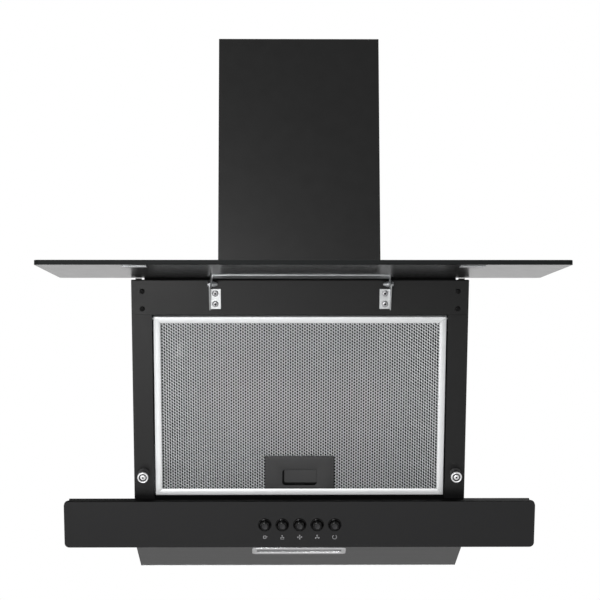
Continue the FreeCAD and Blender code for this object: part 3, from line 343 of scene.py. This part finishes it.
def rounded(x0, y0, x1, y1, radius, steps=8):
    """A rounded rectangle's outline, as a function of how far inside its edge it is drawn."""
    centres = ((x1 - radius, y0 + radius), (x1 - radius, y1 - radius),
               (x0 + radius, y1 - radius), (x0 + radius, y0 + radius))

    def outline(inset):
        r = max(radius - inset, 0.02)
        points = []
        for quarter, (x, y) in enumerate(centres):
            for k in range(steps + 1):
                angle = math.pi / 2 * (quarter - 1 + k / steps)
                points.append((x + r * math.cos(angle), y + r * math.sin(angle)))
        return points
    return outline


def on_circle(x, y, radius, k, steps):
    """Point k of steps on a circle."""
    angle = 2 * math.pi * k / steps
    return x + radius * math.cos(angle), y + radius * math.sin(angle)


def disc(x, y, radius, steps=40):
    """A circle's outline, as a function of how far inside its edge it is drawn."""
    def outline(inset):
        return [on_circle(x, y, radius - inset, k, steps) for k in range(steps)]
    return outline


def arrised(low, high, width):
    """The edge profile of a plate with a narrow bevel on both faces, as (inset, height)."""
    return ((width, low), (0, low + width), (0, high - width), (width, high))


def rolled(low, high, radius, steps=4):
    """The edge profile of a plate whose upper edge is rounded, as (inset, height)."""
    profile = [(0, low)]
    for k in range(steps + 1):
        angle = math.pi / 2 * k / steps
        profile.append((radius * (1 - math.cos(angle)), high - radius * (1 - math.sin(angle))))
    return profile


def add_plate(shape, profile, outer, *holes):
    """A plate with the given edge profile, bounded by an outline and pierced by others."""
    lowest, highest = [], []
    for outline, sign in [(outer, 1)] + [(hole, -1) for hole in holes]:
        rings = [[shape.verts.new((x, y, height)) for x, y in outline(sign * inset)]
                 for inset, height in profile]
        count = len(rings[0])
        following = [(i, (i + 1) % count) for i in range(count)]
        for below, above in zip(rings, rings[1:]):
            for i, j in following:
                shape.faces.new((below[i], below[j], above[j], above[i]))
        lowest += [shape.edges.get((rings[0][i], rings[0][j])) for i, j in following]
        highest += [shape.edges.get((rings[-1][i], rings[-1][j])) for i, j in following]
    for rim in (lowest, highest):
        bmesh.ops.triangle_fill(shape, use_beauty=True, edges=rim)


def add_prism(shape, outline, low, high):
    """A closed outline of (x, y), raised from low to high."""
    floor = [shape.verts.new((x, y, low)) for x, y in outline]
    roof = [shape.verts.new((x, y, high)) for x, y in outline]
    shape.faces.new(floor)
    shape.faces.new(roof)
    count = len(outline)
    for i in range(count):
        j = (i + 1) % count
        shape.faces.new((floor[i], floor[j], roof[j], roof[i]))


def add_block(shape, x0, y0, x1, y1, low, high):
    add_prism(shape, ((x0, y0), (x1, y0), (x1, y1), (x0, y1)), low, high)


def add_turned(shape, profile, steps=40):
    """A solid of revolution about Z, from (radius, height) corners."""
    rings = []
    for radius, height in profile:
        count = steps if radius > 0 else 1
        rings.append([shape.verts.new((*on_circle(0, 0, radius, k, steps), height))
                      for k in range(count)])
    for low, high in zip(rings, rings[1:]):
        for k in range(steps):
            j = (k + 1) % steps
            corners = (low[k % len(low)], low[j % len(low)],
                       high[j % len(high)], high[k % len(high)])
            unique = list(dict.fromkeys(corners))
            if len(unique) > 2:
                shape.faces.new(unique)


def carved(mesh, cutter):
    """The mesh with the cutter's shape taken out of it; both are single closed shells."""
    solid = bpy.data.objects.new("solid", mesh)
    tool = bpy.data.objects.new("tool", cutter)
    for item in (solid, tool):
        bpy.context.scene.collection.objects.link(item)
    cut = solid.modifiers.new("cut", "BOOLEAN")
    cut.operation = "DIFFERENCE"
    cut.solver = "EXACT"
    cut.material_mode = "TRANSFER"
    cut.object = tool
    graph = bpy.context.evaluated_depsgraph_get()
    made = bpy.data.meshes.new_from_object(solid.evaluated_get(graph))
    made.name = mesh.name
    for item in (solid, tool):
        bpy.data.objects.remove(item)
    return made


def gathered(name, *meshes):
    """Several meshes as one, each face keeping its finish."""
    materials = list(dict.fromkeys(material for mesh in meshes for material in mesh.materials))
    shape = bmesh.new()
    for mesh in meshes:
        first = len(shape.faces)
        shape.from_mesh(mesh)
        shape.faces.ensure_lookup_table()
        for face in shape.faces[first:]:
            face.material_index = materials.index(mesh.materials[face.material_index])
    return mesh_of(name, shape, materials)


def copies(mesh, places):
    """One mesh holding the given mesh at each of the places."""
    shape = bmesh.new()
    for place in places:
        single = mesh.copy()
        single.transform(place)
        shape.from_mesh(single)
        bpy.data.meshes.remove(single)
    return mesh_of(mesh.name, shape, mesh.materials)


def shift(x=0.0, y=0.0, z=0.0, turn=0.0):
    """A move in millimetres after a turn about Z in degrees."""
    return (Matrix.Translation((x / 1000, y / 1000, z / 1000))
            @ Matrix.Rotation(math.radians(turn), 4, "Z"))


def glass_plate(name, place, edge, lower_edge, low, high, *holes):
    """A sheet of glass, polished in front, printed on its back and ground on its edges."""
    outer = rounded(-GLASS_HALF, low, GLASS_HALF, high, GLASS_CORNER)

    def build(shape):
        add_plate(shape, arrised(GLASS_BACK, GLASS_FRONT, GLASS_ARRIS), outer, *holes)
        bmesh.ops.recalc_face_normals(shape, faces=shape.faces)
        for face in shape.faces:
            face.material_index = (0 if face.normal.z > 0.99 else 2 if face.normal.z < -0.99
                                   else 3 if face.normal.y < -0.5 else 1)
    return mesh_from(name, build, place, "black glass", edge, "printed back of the glass",
                     lower_edge, smooth=30)


def screw_head(name, head_finish, radius, height, shank, recess=0.62):
    """A pan head on its shank, seated at z = 0, with a cross recess."""
    def build(shape):
        head = ((0.98, 0), (1, 0.15), (1, 0.42), (0.94, 0.66), (0.8, 0.86), (0.6, 0.96), (0, 1))
        add_turned(shape, ((0, -shank), (radius * 0.44, -shank), (radius * 0.44, 0),
                           *[(radius * across, height * up) for across, up in head]), steps=36)

    def cross(shape):
        long, wide = radius * recess, radius * 0.17
        outline = []
        for quarter in range(4):
            turned = Matrix.Rotation(math.pi / 2 * quarter, 2)
            outline += [tuple(turned @ Vector(corner))
                        for corner in ((long, -wide), (long, wide), (wide, wide))]
        add_prism(shape, outline, height * 0.35, height + 1)

    return carved(mesh_from(name, build, Matrix(), head_finish, smooth=50),
                  mesh_from("cross", cross, Matrix(), "shaded screw recess"))


# ---- operators -----------------------------------------------------------------------

class HOOD_OT_stage(bpy.types.Operator):
    """Floor, light and the camera"""
    bl_idname = "hood.stage"
    bl_label = "Stage"

    def execute(self, context):
        settings = context.scene.hood_stage
        context.scene.view_settings.view_transform = "Standard"
        self.make_floor(context, settings)
        self.make_surround(context, settings)
        self.make_lamps(context, settings)
        self.make_camera(context)
        return {"FINISHED"}

    def make_floor(self, context, settings):
        def build(shape):
            half = 6000
            corners = ((-half, -half), (half, -half), (half, half), (-half, half))
            shape.faces.new([shape.verts.new((x, y, settings.floor_level * 1000))
                             for x, y in corners])
        mesh = mesh_from("floor", build, Matrix(), "pale floor")
        floor = bpy.data.objects.new("floor", mesh)
        context.scene.collection.objects.link(floor)

    def make_surround(self, context, settings):
        """Even light from all round, with a white backdrop where it is seen or mirrored."""
        world = bpy.data.worlds.new("surround")
        context.scene.world = world
        world.use_nodes = True
        world.node_tree.nodes.clear()
        path = new_node(world, "ShaderNodeLightPath")
        mirrored = new_node(world, "ShaderNodeMath")
        mirrored.operation = "ADD"
        link(world, path.outputs["Is Glossy Ray"], mirrored.inputs[0])
        link(world, path.outputs["Is Transmission Ray"], mirrored.inputs[1])
        seen = new_node(world, "ShaderNodeMath")
        seen.operation = "ADD"
        seen.use_clamp = True
        link(world, path.outputs["Is Camera Ray"], seen.inputs[0])
        link(world, mirrored.outputs[0], seen.inputs[1])
        light = new_node(world, "ShaderNodeBackground", Strength=settings.surround)
        backdrop = new_node(world, "ShaderNodeBackground", Strength=1.0, Color=(1, 1, 1, 1))
        choice = new_node(world, "ShaderNodeMixShader")
        link(world, seen.outputs[0], choice.inputs["Fac"])
        link(world, light.outputs[0], choice.inputs[1])
        link(world, backdrop.outputs[0], choice.inputs[2])
        output = new_node(world, "ShaderNodeOutputWorld")
        link(world, choice.outputs[0], output.inputs["Surface"])

    def make_lamps(self, context, settings):
        for name, where, width, share in LAMPS:
            data = bpy.data.lights.new(name, "AREA")
            data.shape = "DISK"
            data.size = width
            data.energy = settings.key * share
            lamp = bpy.data.objects.new(name, data)
            lamp.location = where
            aim = Vector(LAMP_AIM) - Vector(where)
            lamp.rotation_euler = aim.to_track_quat("-Z", "Y").to_euler()
            context.scene.collection.objects.link(lamp)

    def make_camera(self, context):
        pitch, yaw = math.radians(CAMERA_PITCH), math.radians(CAMERA_YAW)
        roll = math.radians(CAMERA_ROLL)
        forward = Vector((math.sin(yaw) * math.cos(pitch), math.cos(yaw) * math.cos(pitch),
                          math.sin(pitch)))
        right = Vector((math.cos(yaw), -math.sin(yaw), 0))
        up = right.cross(forward)
        turned_right = right * math.cos(roll) + up * math.sin(roll)
        turned_up = up * math.cos(roll) - right * math.sin(roll)
        data = bpy.data.cameras.new("camera")
        data.sensor_width = SENSOR_WIDTH
        data.lens = CAMERA_FOCUS / PICTURE_WIDTH * SENSOR_WIDTH
        data.clip_start = 0.05
        data.clip_end = 40
        camera = bpy.data.objects.new("camera", data)
        turn = Matrix((turned_right, turned_up, -forward)).transposed().to_4x4()
        camera.matrix_world = Matrix.Translation(CAMERA_PLACE) @ turn
        context.scene.collection.objects.link(camera)
        context.scene.camera = camera


class HOOD_OT_body(bpy.types.Operator):
    """Enamelled sheets of the body and its rail screws"""
    bl_idname = "hood.body"
    bl_label = "Body"

    def execute(self, context):
        dress("satin black enamel", "side_panel_left", "side_panel_right", "top_rail", edge=0.3)
        # The apron and the top sheet take the darker enamel as painted shade.
        dress("dull black enamel", "front_apron", "top_panel", edge=0.3)
        dress("brushed black underside", "underside_panel")
        dress("galvanised sheet", "rear_panel", "filter_clips", edge=0.2)
        dress("black rubber", "stop_buffers", edge=0.4)
        head = screw_head("rail_screw", "blackened screw", 3.2, 1.9, 5)
        heads = copies(head, [FACE @ shift(x, s, 0, turn) for x, s, turn in RAIL_SCREWS])
        new_piece("rail_screw_heads", heads, "hood_body", "black_screw", "rail_screws")
        return {"FINISHED"}


class HOOD_OT_covers(bpy.types.Operator):
    """The two duct covers and the wall strip"""
    bl_idname = "hood.covers"
    bl_label = "Duct covers"

    def execute(self, context):
        dress("duct cover enamel", "chimney_lower", "chimney_upper", edge=0.5)
        dress("galvanised sheet", "chimney_bracket", edge=0.3)
        return {"FINISHED"}


class HOOD_OT_glass_front(bpy.types.Operator):
    """The swung-up glass, its carrier and strike plates"""
    bl_idname = "hood.glass_front"
    bl_label = "Glass front"

    def execute(self, context):
        panel = glass_plate("glass_front", OPEN_FACE, "ground glass edge", "ground glass edge",
                            PANEL_LOW, PANEL_HIGH)
        new_piece("glass_front", panel, "glass_door", "black_glass", "glass_panel")
        dress("carrier steel", "glass_carrier", edge=0.25)
        dress("galvanised sheet", "strike_plates", edge=0.3)
        return {"FINISHED"}


class HOOD_OT_hinges(bpy.types.Operator):
    """Hinge plates, pins, caps and screws"""
    bl_idname = "hood.hinges"
    bl_label = "Hinges"

    def execute(self, context):
        dress("bright zinc", "hinge_bracket_left", "hinge_bracket_right", edge=0.3)
        dress("carrier steel", "hinge_pin_left", "hinge_pin_right", "pin_caps")
        head = screw_head("hinge_screw", "screw steel", 3.9, 2.1, 6.4, recess=0.42)
        heads = copies(head, [FACE @ shift(x, s, HINGE_PLATE, turn)
                              for x, s, turn in HINGE_SCREWS])
        new_piece("hinge_screw_heads", heads, "hood_body", "hinge_zinc", "hinge_screws")
        return {"FINISHED"}


class HOOD_OT_catches(bpy.types.Operator):
    """The two closing catches"""
    bl_idname = "hood.catches"
    bl_label = "Catches"

    def execute(self, context):
        dress("matte black plastic", "catch_post_left", "catch_post_right")
        cup = mesh_from("cup", self.cup, Matrix(), "satin steel", smooth=50)
        ring = mesh_from("ring", self.magnet, Matrix(), "magnet grey", smooth=50)
        screw = screw_head("catch_screw", "satin steel", 3.2, 1.3, 1.0, recess=0.5)
        places = [FACE @ shift(side * CATCH_SIDE, CATCH_UP, 0, 35 * side) for side in (-1, 1)]
        new_piece("catch_rims", copies(cup, places), "hood_body", "cup_steel", "catch_cups")
        new_piece("catch_rings", copies(ring, places), "hood_body", "magnet_grey",
                  "catch_magnets")
        seats = [place @ shift(z=CATCH_SEAT) for place in places]
        new_piece("catch_heads", copies(screw, seats), "hood_body", "cup_steel", "catch_screws")
        return {"FINISHED"}

    def cup(self, shape):
        add_turned(shape, ((0, 14), (6.5, 14), (6.9, 14.4), (6.9, 17), (6.75, 17.6),
                           (6.35, 17.95), (5.9, 18), (5.4, 17.85), (5.05, 17.4), (4.95, 16.8),
                           (4.95, 15.4), (0, 15.4)))

    def magnet(self, shape):
        add_turned(shape, ((3.7, 15.4), (4.93, 15.4), (4.93, 16.6), (4.7, 16.8), (3.9, 16.8),
                           (3.7, 16.6), (3.7, 15.4)))


class HOOD_OT_strip(bpy.types.Operator):
    """Control strip with its carrier, switch, button rings and marks"""
    bl_idname = "hood.strip"
    bl_label = "Control strip"

    def execute(self, context):
        holes = [disc(x, BUTTON_ROW, BUTTON_HOLE) for x in BUTTON_XS]
        # The strip's upper and side edges carry painted shade, and its lower edge carries painted
        # light.
        strip = glass_plate("control_strip", FACE, "ground edge in shade", "ground lower edge",
                            STRIP_LOW, STRIP_HIGH, *holes)
        new_piece("control_strip", strip, "hood_body", "black_glass", "control_glass")
        # The carrier takes the darker enamel as painted shade too.
        dress("dull black enamel", "control_carrier", edge=0.25)
        dress("matte black plastic", "switch_block", edge=0.4)
        ring = mesh_from("ring", self.ring, Matrix(), "glossy black plastic", smooth=60)
        rings = copies(ring, [FACE @ shift(x, BUTTON_ROW) for x in BUTTON_XS])
        new_piece("button_rings", rings, "hood_body", "button_black", "button_bezels")
        marks = (self.bulb, self.slow_fan, self.middle_fan, self.fast_fan, self.stop)
        for name, x, draw in zip(BUTTONS, BUTTON_XS, marks):
            mesh = mesh_from("mark", draw, FACE @ shift(x, MARK_ROW), "printed mark")
            new_piece(name.replace("button", "mark"), mesh, "hood_body", "lamp_white")
        return {"FINISHED"}

    def ring(self, shape):
        add_turned(shape, ((7.28, 25.02), (8.65, 25.02), (8.6, 25.5), (8.3, 26.1), (7.9, 26.6),
                           (7.45, 26.75), (7.28, 26.5), (7.28, 25.02)), steps=56)

    def bulb(self, shape):
        add_plate(shape, MARK_EDGE, rounded(-2.1, -2.2, 2.1, 2.2, 1.2),
                  rounded(-1.1, -1.2, 1.1, 1.2, 0.7))
        add_block(shape, 2.2, 0.2, 3.6, 1.0, *MARK_LEVELS)

    def blades(self, shape, count, reach, wide):
        """A fan with count blades, the first of them upright."""
        add_plate(shape, MARK_EDGE, disc(0, 0, 0.7, 16))
        for k in range(count):
            angle = math.radians(90 + 360 * k / count)
            along = Vector((math.cos(angle), math.sin(angle)))
            side = Vector((-along.y, along.x))
            corners = ((0.85, -0.25), (reach * 0.55, -0.5 * wide), (reach, -0.2 * wide),
                       (reach * 0.95, 0.6 * wide), (reach * 0.55, 0.45 * wide), (0.85, 0.25))
            add_prism(shape, [tuple(along * a + side * b) for a, b in corners], *MARK_LEVELS)

    def slow_fan(self, shape):
        self.blades(shape, 3, 2.7, 1.7)
        add_block(shape, -2.4, -3.0, 2.4, -2.4, *MARK_LEVELS)

    def middle_fan(self, shape):
        self.blades(shape, 4, 3.1, 1.8)

    def fast_fan(self, shape):
        self.blades(shape, 3, 3.2, 2.0)

    def stop(self, shape):
        steps = 26
        ring = [(radius, math.radians(118 + 304 * k / steps))
                for radius, order in ((3.0, 1), (2.2, -1)) for k in range(steps + 1)[::order]]
        add_prism(shape, [(r * math.cos(a), r * math.sin(a)) for r, a in ring], *MARK_LEVELS)


class HOOD_OT_buttons(bpy.types.Operator):
    """Push-buttons"""
    bl_idname = "hood.buttons"
    bl_label = "Buttons"

    def execute(self, context):
        for name, x in zip(BUTTONS, BUTTON_XS):
            mesh = mesh_from("button", self.button, FACE @ shift(x, BUTTON_ROW),
                             "glossy black plastic", "dished button face", smooth=60)
            new_piece(name.replace("button", "push"), mesh, name + "_key", "button_black", name)
        return {"FINISHED"}

    def button(self, shape):
        """A round button; the dish in its face has the second finish, a lighter grey that is a
        painted reflection.
        """
        dish = 3.5
        add_turned(shape, ((0, 9), (2.6, 9), (2.6, 20), (6.9, 20), (6.9, 27.2), (6.8, 28.2),
                           (6.45, 29.3), (5.9, 30.3), (5.2, 31.05), (4.6, 31.4), (4.1, 31.5),
                           (dish, 31.35)), steps=56)
        add_turned(shape, ((dish, 31.35), (2.2, 31.1), (0, 31.0)), steps=56)
        bmesh.ops.remove_doubles(shape, verts=shape.verts, dist=0.001)
        for face in shape.faces:
            middle = face.calc_center_median()
            face.material_index = int(middle.to_2d().length < dish and face.normal.z > 0.9
                                      and middle.z > 30)


class HOOD_OT_grease_filter(bpy.types.Operator):
    """Grease filter with its expanded mesh, mitred frame and handle"""
    bl_idname = "hood.grease_filter"
    bl_label = "Grease filter"

    def execute(self, context):
        self.make_frame()
        self.make_sheets(context.scene.hood_sizes)
        self.make_handle()
        return {"FINISHED"}

    def make_frame(self):
        """Four bars of one section, given as (inwards, outwards), that meet in open mitres."""
        section = ((0.0, -10.2), (8.5, -10.2), (8.5, -9.0), (1.2, -9.0), (1.2, -1.2),
                   (8.1, -1.2), (8.5, -0.9), (8.5, -0.3), (8.2, 0.0), (0.9, 0.0),
                   (0.26, -0.26), (0.0, -0.9))
        half, low, high, gap = FILTER_HALF, FILTER_LOW, FILTER_HIGH, 0.2

        def bar(shape, *ends):
            rings = [[shape.verts.new(end(u, w)) for u, w in section] for end in ends]
            for i in range(len(section)):
                j = (i + 1) % len(section)
                shape.faces.new((rings[0][i], rings[0][j], rings[1][j], rings[1][i]))
            for ring in rings:
                shape.faces.new(ring)

        def lower_bar(shape):
            bar(shape, lambda u, w: (-half + u + gap, low + u, w),
                lambda u, w: (half - u - gap, low + u, w))

        def other_bars(shape):
            bar(shape, lambda u, w: (-half + u + gap, high - u, w),
                lambda u, w: (half - u - gap, high - u, w))
            for side in (-1, 1):
                bar(shape, lambda u, w: (side * (half - u), low + u + gap, w),
                    lambda u, w: (side * (half - u), high - u - gap, w))

        def bolt_slot(shape):
            add_block(shape, -BOLT_HALF, low - 2, BOLT_HALF, low + 1.7, BOLT_LOW, BOLT_HIGH)

        def studs(shape):
            for side in (-1, 1):
                add_turned(shape, ((0, side * 183.2), (1.5, side * 183.2), (1.5, side * 187.8),
                                   (1.1, side * 188.3), (0, side * 188.3)), steps=20)

        # The lower bar takes the lighter aluminium as painted light.
        lower = mesh_from("filter_bar", lower_bar, FACE, "filter aluminium below", smooth=50)
        lower = carved(lower, mesh_from("slot", bolt_slot, FACE, "filter aluminium below"))
        new_piece("filter_lower_bar", lower, "filter_cassette", "filter_aluminium",
                  "filter_frame")
        rest = mesh_from("filter_bars", other_bars, FACE, "filter aluminium", smooth=50)
        new_piece("filter_bars", rest, "filter_cassette", "filter_aluminium", "filter_frame")
        across = (FACE @ Matrix.Translation((0, 0.232, -0.004))
                  @ Matrix.Rotation(math.radians(90), 4, "Y"))
        pivots = mesh_from("studs", studs, across, "bright zinc", smooth=50)
        new_piece("filter_studs", pivots, "filter_cassette", "filter_aluminium", "filter_frame")

    def make_sheets(self, settings):
        """Three sheets one behind the other, each at its depth and slipped by part of a cell."""
        # The two sheets behind take the dark copy of the aluminium as painted shade.
        layers = ((-2.0, (0.0, 0.0), "mesh aluminium"), (-5.4, (1.1, 0.4), "inner mesh"),
                  (-8.6, (2.0, 0.9), "inner mesh"))
        for number, (depth, slip, metal) in enumerate(layers, start=1):
            mesh = self.expanded_sheet(settings, depth, slip, walled=number == 1)
            mesh.materials.append(finish(metal))
            new_piece("filter_sheet_%d" % number, mesh, "filter_cassette", "filter_aluminium",
                      "filter_mesh")

    def expanded_sheet(self, settings, depth, slip, walled):
        """A slit and drawn sheet: slanting bonds on a diamond lattice, joined by strands."""
        width, height = settings.cell_across * 1000, settings.cell_up * 1000
        bond, rise, lift = settings.bond * 1000, settings.strand * 1000 * 0.75, 0.42
        neck = bond * 0.36
        half, low, high = 182.8, 0.9, 233.7
        handle_half, handle_high = 36.4, 48.6
        hexagon = ((-bond, 0, 0), (-neck, rise, lift), (neck, rise, lift), (bond, 0, 0),
                   (neck, -rise, -lift), (-neck, -rise, -lift))
        corners, faces, places = [], [], {}
        for row in range(int((high - low) * 2 / height) + 1):
            for column in range(-int(half / width) - 1, int(half / width) + 2):
                x = (column + 0.5 * (row % 2)) * width + slip[0]
                s = low + row * height / 2 + slip[1]
                if abs(x) > half - bond or s + rise > high:
                    continue
                if abs(x) < handle_half + bond and s < handle_high + rise:
                    continue
                places[(2 * column + row % 2, row)] = len(corners)
                corners += [(x + a, s + b, depth + c) for a, b, c in hexagon]
        for (column, row), first in places.items():
            faces.append(tuple(first + k for k in range(6)))
            right = places.get((column + 1, row + 1))
            left = places.get((column - 1, row + 1))
            if right is not None:
                faces.append((first + 2, first + 3, right + 5, right))
            if left is not None:
                faces.append((first, first + 1, left + 3, left + 4))
        if walled:
            faces += self.edge_walls(corners, faces)
        mesh = bpy.data.meshes.new("expanded_sheet")
        mesh.from_pydata(corners, [], faces)
        mesh.transform(FACE @ MILLIMETRES)
        mesh.update()
        return mesh

    def edge_walls(self, corners, faces, thickness=0.5):
        """The sheet's thickness, as a narrow wall along every free edge."""
        free = {}
        for face in faces:
            for start, end in zip(face, face[1:] + face[:1]):
                key = (min(start, end), max(start, end))
                free[key] = None if key in free else (start, end)
        deep, walls = {}, []
        for pair in filter(None, free.values()):
            for index in pair:
                if index not in deep:
                    x, s, w = corners[index]
                    deep[index] = len(corners)
                    corners.append((x, s, w - thickness))
            start, end = pair
            walls.append((start, deep[start], deep[end], end))
        return walls

    def make_handle(self):
        """The handle plate with its tray, and the sliding bolt seen through the window."""
        def plate(shape):
            add_plate(shape, rolled(-1.6, 0, 0.5), rounded(-44.3, 7.8, 44.3, 51.2, 0.6, 3),
                      rounded(-22, 12.2, 22, 33.6, 4))

        def walls(shape):
            add_plate(shape, ((0, -9.0), (0, -1.62)), rounded(-35.7, 8.2, 35.7, 47.8, 1, 2),
                      rounded(-34.5, 9.2, 34.5, 46.6, 1, 2))

        def floor(shape):
            add_plate(shape, ((0, -8.98), (0, -7.8)), rounded(-34.6, 9.1, 34.6, 46.7, 1, 2))

        def bolt_way(shape):
            add_block(shape, -BOLT_HALF, 7.0, BOLT_HALF, 11.2, BOLT_LOW, BOLT_HIGH)

        def slab(shape):
            add_plate(shape, rolled(-5.4, -3.0, 0.6), rounded(-28, 13, 28, 45, 2))

        # A groove along the left and bottom of the window; its walls take the darker plastic as
        # painted shade.
        def painted_shade_groove(shape):
            add_prism(shape, ((-24, 11), (24, 11), (24, 15.4), (-17.6, 15.4), (-19, 16),
                              (-19.6, 17.4), (-19.6, 35), (-24, 35)), -5.1, -2)

        def tongue(shape):
            add_plate(shape, arrised(-5.2, -3.2, 0.3), rounded(-6, -0.4, 6, 13.2, 0.8, 3))

        # The tray and its floor take the darker plastic as painted shade.
        tray = carved(mesh_from("walls", walls, FACE, "inner black plastic"),
                      mesh_from("way", bolt_way, FACE, "inner black plastic"))
        handle = gathered("handle",
                          mesh_from("plate", plate, FACE, "matte black plastic", smooth=40),
                          tray, mesh_from("floor", floor, FACE, "inner black plastic"))
        new_piece("handle_plate", handle, "filter_cassette", "black_plastic", "filter_handle")
        slider = carved(mesh_from("slab", slab, FACE, "matte black plastic", smooth=40),
                        mesh_from("groove", painted_shade_groove, FACE, "inner black plastic"))
        bolt = gathered("bolt", slider,
                        mesh_from("tongue", tongue, FACE, "inner black plastic", smooth=40))
        new_piece("handle_bolt", bolt, "filter_bolt", "black_plastic", "filter_latch")


class HOOD_OT_lamp(bpy.types.Operator):
    """Lamp in the underside"""
    bl_idname = "hood.lamp"
    bl_label = "Lamp"

    def execute(self, context):
        under = UNDERSIDE @ Matrix.Diagonal((1, 1, -1, 1))

        def centred(half_long, half_wide, radius, steps=8):
            middle = 42.0
            return rounded(-half_long, middle - half_wide, half_long, middle + half_wide,
                           radius, steps)

        def bezel(shape):
            add_plate(shape, rolled(0.0, 1.4, 0.9), centred(61.5, 15.9, 6),
                      centred(55.0, 7.5, 2))
            add_plate(shape, ((0, -6.0), (0, 0.4)), centred(56.6, 12, 0.4, 2),
                      centred(55.4, 10.8, 0.4, 2))

        def lens(shape):
            add_plate(shape, ((0, -2.0), (0, -0.02)), centred(55.2, 10.6, 0.4, 2))

        bright = mesh_from("bezel", bezel, under, "polished chrome", smooth=40)
        new_piece("lamp_frame", bright, "hood_body", "lamp_chrome", "lamp_bezel")
        frosted = mesh_from("lens", lens, under, "frosted lens", smooth=40)
        new_piece("lamp_glass", frosted, "hood_body", "lamp_diffuser", "lamp_lens")
        dress("white plastic", "lamp_board")
        dress("galvanised sheet", "lamp_housing", edge=0.4)
        return {"FINISHED"}


class HOOD_OT_inside(bpy.types.Operator):
    """Blower, air outlet and electrics"""
    bl_idname = "hood.inside"
    bl_label = "Inside"

    def execute(self, context):
        dress("galvanised sheet", "blower_shell_left", "blower_shell_right", "motor_bracket",
              "damper_rod")
        dress("bright zinc", "motor", "motor_shaft")
        dress("grey plastic", "impeller", "damper_flap_front", "damper_flap_rear",
              "control_box", "run_capacitor")
        dress("matte black plastic", "duct_collar", "cable_gland")
        return {"FINISHED"}


class HOOD_PT_sidebar(bpy.types.Panel):
    """Builds the hood's pieces and holds their settings"""
    bl_idname = "HOOD_PT_sidebar"
    bl_label = "Slanted Chimney Hood"
    bl_space_type = "VIEW_3D"
    bl_region_type = "UI"
    bl_category = "Hood"

    def draw(self, context):
        scene = context.scene
        for group in (scene.hood_sizes, scene.hood_colours, scene.hood_stage):
            box = self.layout.box()
            for name in group.__annotations__:
                box.prop(group, name)
        for operator in OPERATORS:
            self.layout.operator(operator.bl_idname)


OPERATORS = (HOOD_OT_stage, HOOD_OT_body, HOOD_OT_covers, HOOD_OT_glass_front, HOOD_OT_hinges,
             HOOD_OT_catches, HOOD_OT_strip, HOOD_OT_buttons, HOOD_OT_grease_filter,
             HOOD_OT_lamp, HOOD_OT_inside)
CLASSES = (HoodColours, HoodSizes, HoodStage, *OPERATORS, HOOD_PT_sidebar)


def register():
    for item in CLASSES:
        bpy.utils.register_class(item)
    bpy.types.Scene.hood_colours = PointerProperty(type=HoodColours)
    bpy.types.Scene.hood_sizes = PointerProperty(type=HoodSizes)
    bpy.types.Scene.hood_stage = PointerProperty(type=HoodStage)


def unregister():
    del bpy.types.Scene.hood_stage
    del bpy.types.Scene.hood_sizes
    del bpy.types.Scene.hood_colours
    for item in reversed(CLASSES):
        bpy.utils.unregister_class(item)


def main():
    register()
    for operator in OPERATORS:
        group, _, name = operator.bl_idname.partition(".")
        getattr(getattr(bpy.ops, group), name)()


if __name__ == "__main__":
    main()
